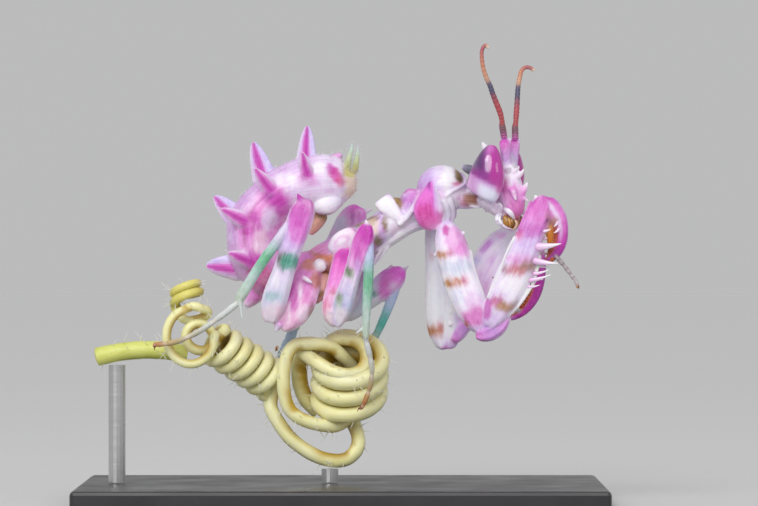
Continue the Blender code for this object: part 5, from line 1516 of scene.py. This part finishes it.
def colour_mandible(s):
    tint = ramp(s.along, "0 a07430 .4 gold .75 9c6424 1 5c3018")
    tint = tinge(tint, "6e4c1c", step(s.across + 0.5 * s.n3, 0.15, 0.6) * 0.7)
    # Light gold streaks towards one side: painted highlights.
    return tinge(tint, "e8be76", step(s.n3 - 0.4 * s.across, 0.15, 0.5) * 0.6)


def colour_palp(s):
    return tinge(ramp(s.along, "0 silver .4 white .7 pale 1 ecccd6"), "96788c", joints(s, 3.0, 0.09) * 0.5)


mouth = []
for mark, side in SIDES:
    for name, points, radius, flat, colouring in (
            ("mandible", """
                10.57 -1.75 18.56 .55 / 10.62 -1.85 18.3 .95 / 10.71 -1.85 18 1 / 10.89 -1.7 17.77 .75 /
                11.02 -1.6 17.68 .3""", 0.25, 0.8, colour_mandible),
            ("mandible_blade", """
                10.82 -1.7 18.42 .5 / 10.96 -1.82 18.2 1 / 11.01 -1.8 17.97 .9 / 10.95 -1.65 17.72 .4""",
             0.22, 0.7, colour_mandible),
            ("mandible_fold", """
                10.7 -1.85 18.5 .5 / 10.81 -2 18.23 1 / 10.86 -2 17.97 .8 / 10.83 -1.85 17.75 .4""",
             0.10, 0.8, "0 d6aa60 .6 c48e42 1 78461e"),
            ("jaw_plate", """
                10.5 -1.75 19.01 .6 / 10.72 -2 18.88 1 / 10.95 -2 18.66 1 / 11.12 -1.85 18.36 .55""",
             0.17, 0.7, "0 silver .5 white 1 pale"),
            ("maxilla", """
                10.17 -1.6 18.72 .8 / 10.06 -1.75 18.39 1.1 / 10.21 -1.8 18.04 .9 / 10.56 -1.75 17.77 .6""",
             0.17, 0.8, colour_palp),
            ("palp", """
                10.3 -1.9 18.66 .9 / 10.17 -2.1 18.33 1 / 10.34 -2.15 18 .9 / 10.66 -2.05 17.76 .8 /
                10.99 -1.9 17.69 .5""", 0.105, 1.0, colour_palp),
            ("lip_palp", """
                11.05 -1.75 18.3 .8 / 11.28 -1.85 18.14 1 / 11.28 -1.85 17.88 .9 / 11.05 -1.7 17.65 .6""",
             0.10, 1.0, "0 d6b096 1 ecccaa")):
        mouth.append(tube(name + "_" + mark, on_half(points, side), radius, colouring, flat))
mouth.append(tube("labrum", "11.05 -1.05 18.91 .9 / 11.18 -1.15 18.53 1 / 11.21 -1.1 18.17 .7", 0.40,
                  "0 pink .5 c4768c 1 8c4c2c", 0.8))
joined("mouthparts", mouth, m.made, "cuticle")


# ---------------------------------------------------------------- spines of the fore legs
# Hard white spines in two rows under each femur, and brown saw teeth along each tibia,
# which close like a penknife.

m = finish("spine_horn", (0.8, 0.7, 0.8), 0.3, Subsurface_Weight=0.2, Subsurface_Scale=0.0002,
           Subsurface_Radius=(1.0, 0.8, 0.8), Coat_Weight=0.3, Coat_Roughness=0.2)
spine_horn = m.made
dressed_from_stored_colour(m, grain(m, place_in(m), 7000.0, 3.0), 0.5, (0.30, 0.29, 0.30), (0.72, 0.72, 0.72),
          (0.3, 0.7, 0.22, 0.40), 0.000008, 0.5)


def spine(name, root, tip, width, colouring, bow=(0, 0, 0)):
    """A curved conical spine, sharp at its tip."""
    rows = [(*place, width * w, width * w * 0.8) for place, w in taper_off(
        root, tip, "-.1 1.15 / .12 1 / .4 .74 / .7 .42 / .92 .17 / 1 .07", bow)]
    piece = grow(name, rows, sides=8, level=1, dome=0.3)
    paint(piece, colouring)
    return piece


WHITE_SPINE = "0 e2a0d8 .35 ecceee .7 white 1 white"
BROWN_TOOTH = "0 c46830 .6 963c22 1 3c1816"
spines = []
for number, (*ends, width) in enumerate(table("""
    12.61 -3.5 16.54 14.09 -3.9 16.76 .27 / 12.48 -3.5 15.63 13.91 -3.95 15.49 .22 /
    12.42 -3.4 14.82 13.34 -3.6 15.09 .12 / 12.22 -3.4 14.4 13.48 -3.7 14.78 .14 /
    12.94 -3.35 17.55 13.46 -3.5 17.71 .12 / 12.87 -3 17.09 13.65 -2.8 17.23 .14 /
    12.74 -2.75 16.19 13.46 -2.5 16.15 .14 / 12.61 -2.7 15.34 13.33 -2.4 15.28 .13 /
    12.35 -2.7 14.62 13 -2.45 14.43 .12 / 12.03 -3.3 13.97 12.74 -3.5 14.11 .11 /
    13.91 -3.35 18.14 13.62 -3.6 17.84 .1 / 13.97 -3.4 17.68 13.62 -3.6 17.45 .11""")):
    spines.append(spine("femur_spine_near_%d" % number, ends[:3], ends[3:], width, WHITE_SPINE,
                        (0, 0, -0.05)))
for number in range(7):
    t = number / 6.0
    root = Vector((11.96, 2.5, 16.96)).lerp(Vector((11.12, 2.45, 14.3)), t)
    tip = root + Vector((0.62 - 0.2 * t, 0.35, -0.25))
    spines.append(spine("femur_spine_far_%d" % number, root, tip, 0.11, WHITE_SPINE))
for mark, edge, count_of, lean in (
        ("near", """
            13.81 -3.1 18.27 / 13.91 -3.1 17.48 / 13.82 -3.1 16.84 / 13.59 -3.1 16.32 / 13.29 -3.1 15.96""",
         13, -0.25),
        ("far", """
            12.49 1.7 14.95 / 12.42 1.6 14.11 / 12.14 1.5 13.39 / 11.67 1.4 12.74 / 11.12 1.4 12.35""",
         16, -0.30)):
    edge = smooth_path(edge, count_of)
    for number, (a, b) in enumerate(zip(edge, edge[1:])):
        ahead = (Vector(b) - Vector(a)).normalized()
        inward = Vector((ahead.z, 0, -ahead.x))
        inward = -inward if inward.x > 0 else inward
        root = Vector(a) - inward * 0.08
        tip = root + inward * 0.36 + ahead * 0.16 + Vector((0, lean * 0.3, 0))
        spines.append(spine("tibia_tooth_%s_%d" % (mark, number), root, tip, 0.085, BROWN_TOOTH))
spines.append(spine("tibia_hook_near", (13.59, -3.1, 15.86), (12.9, -3.05, 15.41), 0.20, BROWN_TOOTH,
                    (0.05, 0, -0.10)))
spines.append(spine("tibia_hook_far", (11.18, 1.6, 11.99), (10.43, 1.6, 11.77), 0.17, BROWN_TOOTH,
                    (0, 0, -0.10)))
joined("fore_leg_spines", spines, spine_horn, "cuticle")


# ---------------------------------------------------------------- claws
# Each walking foot ends in a pair of small hooked claws over a soft pad.

claws = []
for number, (*ends, apart) in enumerate(table("""
    -11.99 -3.5 10.27 -12.03 -3.4 9.88 .16 / -4.26 1.4 9.95 -4.39 1.2 9.62 .14 /
    1.33 -2.6 6.24 .98 -2.5 5.92 .15 / 1.72 2.85 6.83 1.5 2.7 6.44 .14 /
    15.15 -3.65 14.04 15.24 -3.7 13.81 .07 / 9.95 .5 14.37 9.75 .5 14.56 .07""")):
    ankle, toe = ends[:3], ends[3:]
    for mark, side in SIDES:
        tip = Vector(toe) + Vector((0, apart * side, 0))
        claws.append(spine("claw_%d_%s" % (number, mark), ankle, tip, 0.085, "0 9c623e .6 6e3824 1 341a16",
                           (0, 0.06 * side, 0.10)))
    rows = [(*place, w, w) for place, w in taper_off(ankle, toe, "-.25 .1 / .1 .13 / .4 .11")]
    pad = grow("foot_pad_%d" % number, rows, sides=8, level=1)
    paint(pad, "0 b07854 1 cea686")
    claws.append(pad)
joined("foot_claws", claws, spine_horn, "foot")


# ---------------------------------------------------------------- setae
# Fine clear bristles that grow out of the cuticle: a sparse short nap along body and legs,
# longer ones that stand along the abdomen's back and round the tail, next to none on the face.

def one_seta(name, sides):
    """A bristle of unit length and width, drawn up from a ring and narrowed to its tip."""
    bpy.ops.object.select_all(action="DESELECT")
    bpy.ops.mesh.primitive_circle_add(vertices=sides, radius=1.0, fill_type="NGON")
    bristle = bpy.context.object
    bristle.name = name

    def draw_up():
        for rise, narrow in ((0.34, 0.86), (0.34, 0.66), (0.32, 0.22)):
            bpy.ops.mesh.extrude_region_move(TRANSFORM_OT_translate={"value": (0, 0, rise)})
            bpy.ops.transform.resize(value=(narrow, narrow, 1.0))

    in_edit_mode(draw_up)
    return bristle


def coat(name, bristle, root, out, lie, length, radius, lift, curl, tint, tip, patch, material, slot):
    """Copies of a bristle joined into one mesh.

    root, out and lie are arrays of places (mm) and of directions off the surface and along it.
    lift is the angle at which a bristle leaves the surface, and curl how far it bends over.
    patch holds each root's place on the unwrapped surface, where its bristle's small patch goes.
    """
    PATCH = 0.003
    shape = np.array([v.co[:] for v in bristle.data.vertices])
    size, count = len(shape), len(root)
    side = np.cross(out, lie)
    up = shape[:, 2][None, :, None]
    sine, cosine = np.sin(lift)[:, None], np.cos(lift)[:, None]
    bent = curl[:, None, None]
    rise = sine[:, None] * (up - bent * up * up)
    reach = cosine[:, None] * up + 0.5 * sine[:, None] * bent * up * up
    line = length[:, None, None] * (out[:, None, :] * rise + lie[:, None, :] * reach)
    line = (root - 0.02 * out)[:, None, :] + line
    brow = out * cosine - lie * sine
    points = line + radius[:, None, None] * (side[:, None, :] * shape[None, :, 0:1]
                                             + brow[:, None, :] * shape[None, :, 1:2])
    faces = [[index + copy * size for index in face.vertices] for copy in range(count)
             for face in bristle.data.polygons]
    mesh = bpy.data.meshes.new(name)
    mesh.from_pydata((points.reshape(-1, 3) * MM).tolist(), [], faces)
    whole = bpy.data.objects.new(name, mesh)
    bpy.context.collection.objects.link(whole)
    ends = np.clip(up, 0, 1)
    stain(whole, (tint[:, None, :] * (1 - ends) + hue(tip) * ends).reshape(-1, 3))
    spot = np.stack([shape[:, 2] - 0.5, 0.35 * shape[:, 0] + 0.15 * shape[:, 1]], axis=1)
    spot = patch[:, None, :] + PATCH * spot[None]
    corners = read(mesh.loops, "vertex_index", 1, np.int64).ravel()
    unwrap = mesh.uv_layers.new(name="OFBake")
    unwrap.data.foreach_set("uv", spot.reshape(-1, 2)[corners].astype(np.float32).ravel())
    only(whole)
    in_edit_mode()
    bpy.ops.object.shade_smooth()
    mount(whole, material, slot)


def bristle_material(name, colour, roughness, scale):
    """Clear chitin or plant hair: glassy, a little translucent, uneven along its length."""
    m = finish(name, colour, roughness, Subsurface_Weight=0.35, Subsurface_Scale=0.0001,
               Subsurface_Radius=(1.0, 0.9, 0.9), Specular_IOR_Level=0.55)
    dressed_from_stored_colour(m, grain(m, place_in(m), scale, 3.0), 0.4, (0.36, 0.35, 0.36), (0.70, 0.70, 0.70),
              (0.3, 0.7, roughness - 0.08, roughness + 0.1), 0.000003, 0.4)
    return m.made


# The way each point of the skin runs from a shape's root to its end, along the surface.
here, there = edges[:, 0], edges[:, 1]
same = owner[here] == owner[there]
here, there = here[same], there[same]
climb = (lies[there, 0] - lies[here, 0])[:, None] * (place[there] - place[here])
run = np.zeros((count, 3))
np.add.at(run, here, climb)
np.add.at(run, there, climb)
run -= normals * (run * normals).sum(axis=1)[:, None]
steep = np.linalg.norm(run, axis=1)
run /= np.maximum(steep, 1e-9)[:, None]

# Each shape has its own square of the unwrap: along it one way, round it the other.
GRID = math.ceil(math.sqrt(len(forms)))
turned_by = np.arctan2(lies[:, 2] - 0.5, lies[:, 1] - 0.5) / (2 * math.pi) + 0.5
unwrapped = np.stack([(owner % GRID + 0.06 + 0.88 * np.clip(lies[:, 0], 0, 1)) / GRID,
                      (owner // GRID + 0.06 + 0.88 * turned_by) / GRID], axis=1)

part_of = np.array([name.split("_")[0] for name in form_names])[owner]
on_legs, on_abdomen, on_blades, on_face = (np.isin(part_of, names.split()) for names in (
    "coxa femur tibia tarsus hip", "abdomen flank side belly tail", "blade spur cercus",
    "head face cheek lip scape crown nape"))
on_back = on_abdomen & (normals @ np.array([-0.86, 0.0, 0.52]) > 0.35)
on_tail = (part_of == "cercus") | (on_abdomen & (lies[:, 0] > 0.93))
chance = np.where(on_legs, 1.0, 0.7)
chance[on_blades] = 0.35
chance[on_face] = 0.25
chance[part_of == "tarsus"] = 0.8
chance[steep < 1e-7] = 0.0
standing = np.where(on_tail, 2.6, np.where(on_back, 1.0, 0.0)) * (steep > 1e-7)
scatter = np.random.default_rng(11)

seta = one_seta("seta", 3)
clear_chitin = bristle_material("clear_chitin", (0.9, 0.85, 0.92), 0.34, 9000.0)
for name, chances, number, lengths, radii, lifts in (
        ("nap_setae", chance, 5200, (0.09, 0.17), (0.006, 0.009), (0.35, 0.8)),
        ("standing_setae", standing, 900, (0.22, 0.46), (0.008, 0.012), (0.9, 1.35))):
    chosen = scatter.choice(count, number, replace=False, p=chances / chances.sum())
    spin = scatter.normal(0.0, 0.35, number)
    away = normals[chosen]
    down = run[chosen]
    down = down * np.cos(spin)[:, None] + np.cross(away, down) * np.sin(spin)[:, None]
    small = np.where(on_face[chosen] | (part_of[chosen] == "tarsus"), 0.6, 1.0)
    coat(name, seta, place[chosen], away, down, scatter.uniform(*lengths, number) * small,
         scatter.uniform(*radii, number), scatter.uniform(*lifts, number),
         scatter.uniform(0.1, 0.45, number), 0.45 * colours[chosen, :3] + 0.55 * hue("white"), "white",
         unwrapped[chosen], clear_chitin, "cuticle")
bpy.data.objects.remove(seta, do_unlink=True)


# ---------------------------------------------------------------- hairs of the tendril
# Long soft white hairs stand out from the tendril, scattered singly and in pairs, thickest on
# the outsides of its bends. Where a coil would crush them there are none.

ring_hair = one_seta("ring_hair", 4)
routes = [np.array([p[:] for p in path]) for path, _ in strand_lines]
every_point = np.concatenate(routes)
every_radius = np.concatenate([np.array(radii) for _, radii in strand_lines])
roots, outs, lies_along, spots = [], [], [], []
for number, (route, (_, radii)) in enumerate(zip(routes, strand_lines)):
    ahead = np.gradient(route, axis=0)
    ahead /= np.linalg.norm(ahead, axis=1)[:, None]
    bend = np.gradient(ahead, axis=0)
    for _ in range(int(7.0 * np.linalg.norm(np.diff(route, axis=0), axis=1).sum())):
        index = scatter.integers(1, len(route) - 1)
        angle = scatter.uniform(0, 2 * math.pi)
        level = np.cross(ahead[index], (0.0, 0.0, 1.0))
        level /= np.linalg.norm(level)
        out = level * math.cos(angle) + np.cross(level, ahead[index]) * math.sin(angle)
        if out @ bend[index] > -0.1 * np.linalg.norm(bend[index]):
            continue
        base = route[index] + out * radii[index]
        for reach in (0.35, 0.95):
            gap = np.linalg.norm(every_point - (base + out * reach), axis=1) - every_radius
            if gap.min() < 0.2:
                break
        else:
            roots.append(base)
            outs.append(out)
            lies_along.append(ahead[index] * (1 if scatter.random() < 0.5 else -1))
            spots.append(((index / len(route)) * 0.9 + 0.05,
                          (number + 0.1 + 0.8 * angle / 6.2832) / len(routes)))
number = len(roots)
plant_hair = bristle_material("plant_hair", (0.88, 0.88, 0.84), 0.5, 5000.0)
coat("tendril_hairs", ring_hair, np.array(roots), np.array(outs), np.array(lies_along),
     scatter.uniform(0.50, 1.05, number), scatter.uniform(0.018, 0.027, number),
     scatter.uniform(1.0, 1.5, number), scatter.uniform(0.0, 0.35, number),
     np.tile(hue("f0f0d6"), (number, 1)), "fcfcf8", np.array(spots),
     plant_hair, "tendril")
bpy.data.objects.remove(ring_hair, do_unlink=True)


# ---------------------------------------------------------------- cut end of the stem
# The stem is cut square at its free end: pale spongy pith inside a ring of greener strands.

def colour_pith(s):
    tint = ramp(np.hypot(s.across, s.facing), "0 eeeace .55 e2dcaa .75 aaac54 1 c4c46e")
    return tinge(tint, "faf8e8", step(s.n3, 0.1, 0.5) * 0.5)


m = finish("pith_sponge", (0.85, 0.82, 0.62), 0.7, Subsurface_Weight=0.3, Subsurface_Scale=0.0004,
           Subsurface_Radius=(1.0, 0.9, 0.5))
dressed_from_stored_colour(m, cells(m, place_in(m), 14000.0), 0.7, (0.30, 0.30, 0.26), (0.85, 0.85, 0.80),
          (0.0, 0.7, 0.6, 0.8), 0.00001, 0.7)
pith = grow("stem_pith", "-15.9 -1.1 9.42 .5 .5 / -15.82 -1.1 9.44 .56 .56 / -15.7 -1.1 9.46 .56 .56",
            sides=16, dome=0.15)
paint(pith, colour_pith)
joined("stem_pith", [pith], m.made, "tendril")


# ---------------------------------------------------------------- studio
# Pale floor sheet, soft boxes above and to the sides, and a long lens level with the model.

bpy.ops.mesh.primitive_plane_add(size=3.0, location=(0, 0, 0))
floor = bpy.context.object
floor.name = "studio_floor"
m = finish("pale_paper", (0.66, 0.66, 0.66), 0.9, Specular_IOR_Level=0.1)
fibres = grain(m, place_in(m), 900.0)
dress(m, colour=mixed(m, fibres, (0.645, 0.645, 0.645), (0.677, 0.677, 0.677)), bumps=None)
floor.data.materials.append(m.made)

AIM = Vector((2.405 * MM, 0.0, 16.15 * MM))
DISTANCE = 0.30


def soft_box(name, place, size, power, tint=(1, 1, 1)):
    """An area light that faces the model."""
    bpy.ops.object.light_add(type="AREA", location=Vector(place) * 0.1 + AIM)
    lamp = bpy.context.object
    lamp.name = name
    lamp.data.shape = "RECTANGLE"
    lamp.data.size = size * 0.1
    lamp.data.size_y = size * 0.08
    lamp.data.energy = power
    lamp.data.color = tint
    lamp.rotation_euler = (AIM - lamp.location).to_track_quat("-Z", "Y").to_euler()


soft_box("key_light", (-1.1, -1.6, 1.9), 0.8, 0.10)
soft_box("fill_light", (1.9, -1.5, 0.9), 0.9, 0.04)

bpy.ops.object.light_add(type="SUN", location=(0, 0, 1))
overhead = bpy.context.object
overhead.name = "overhead_light"
overhead.data.energy = 1.55
overhead.data.angle = math.radians(40)
overhead.rotation_euler = Vector((0.26, 1.0, -0.62)).to_track_quat("-Z", "Y").to_euler()

world = bpy.data.worlds.new("studio_air")
world.use_nodes = True
world.node_tree.nodes["Background"].inputs["Color"].default_value = (0.50, 0.50, 0.505, 1.0)
world.node_tree.nodes["Background"].inputs["Strength"].default_value = 1.0
bpy.context.scene.world = world
bpy.context.scene.view_settings.view_transform = "Standard"

bpy.ops.object.camera_add(location=AIM + Vector((0, -DISTANCE, 0)), rotation=(math.pi / 2, 0, 0))
camera = bpy.context.object
camera.name = "camera"
camera.data.sensor_width = 36.0
camera.data.lens = 36.0 * DISTANCE / (49.27 * MM)
camera.data.clip_start = 0.005
camera.data.clip_end = 5.0
bpy.context.scene.camera = camera
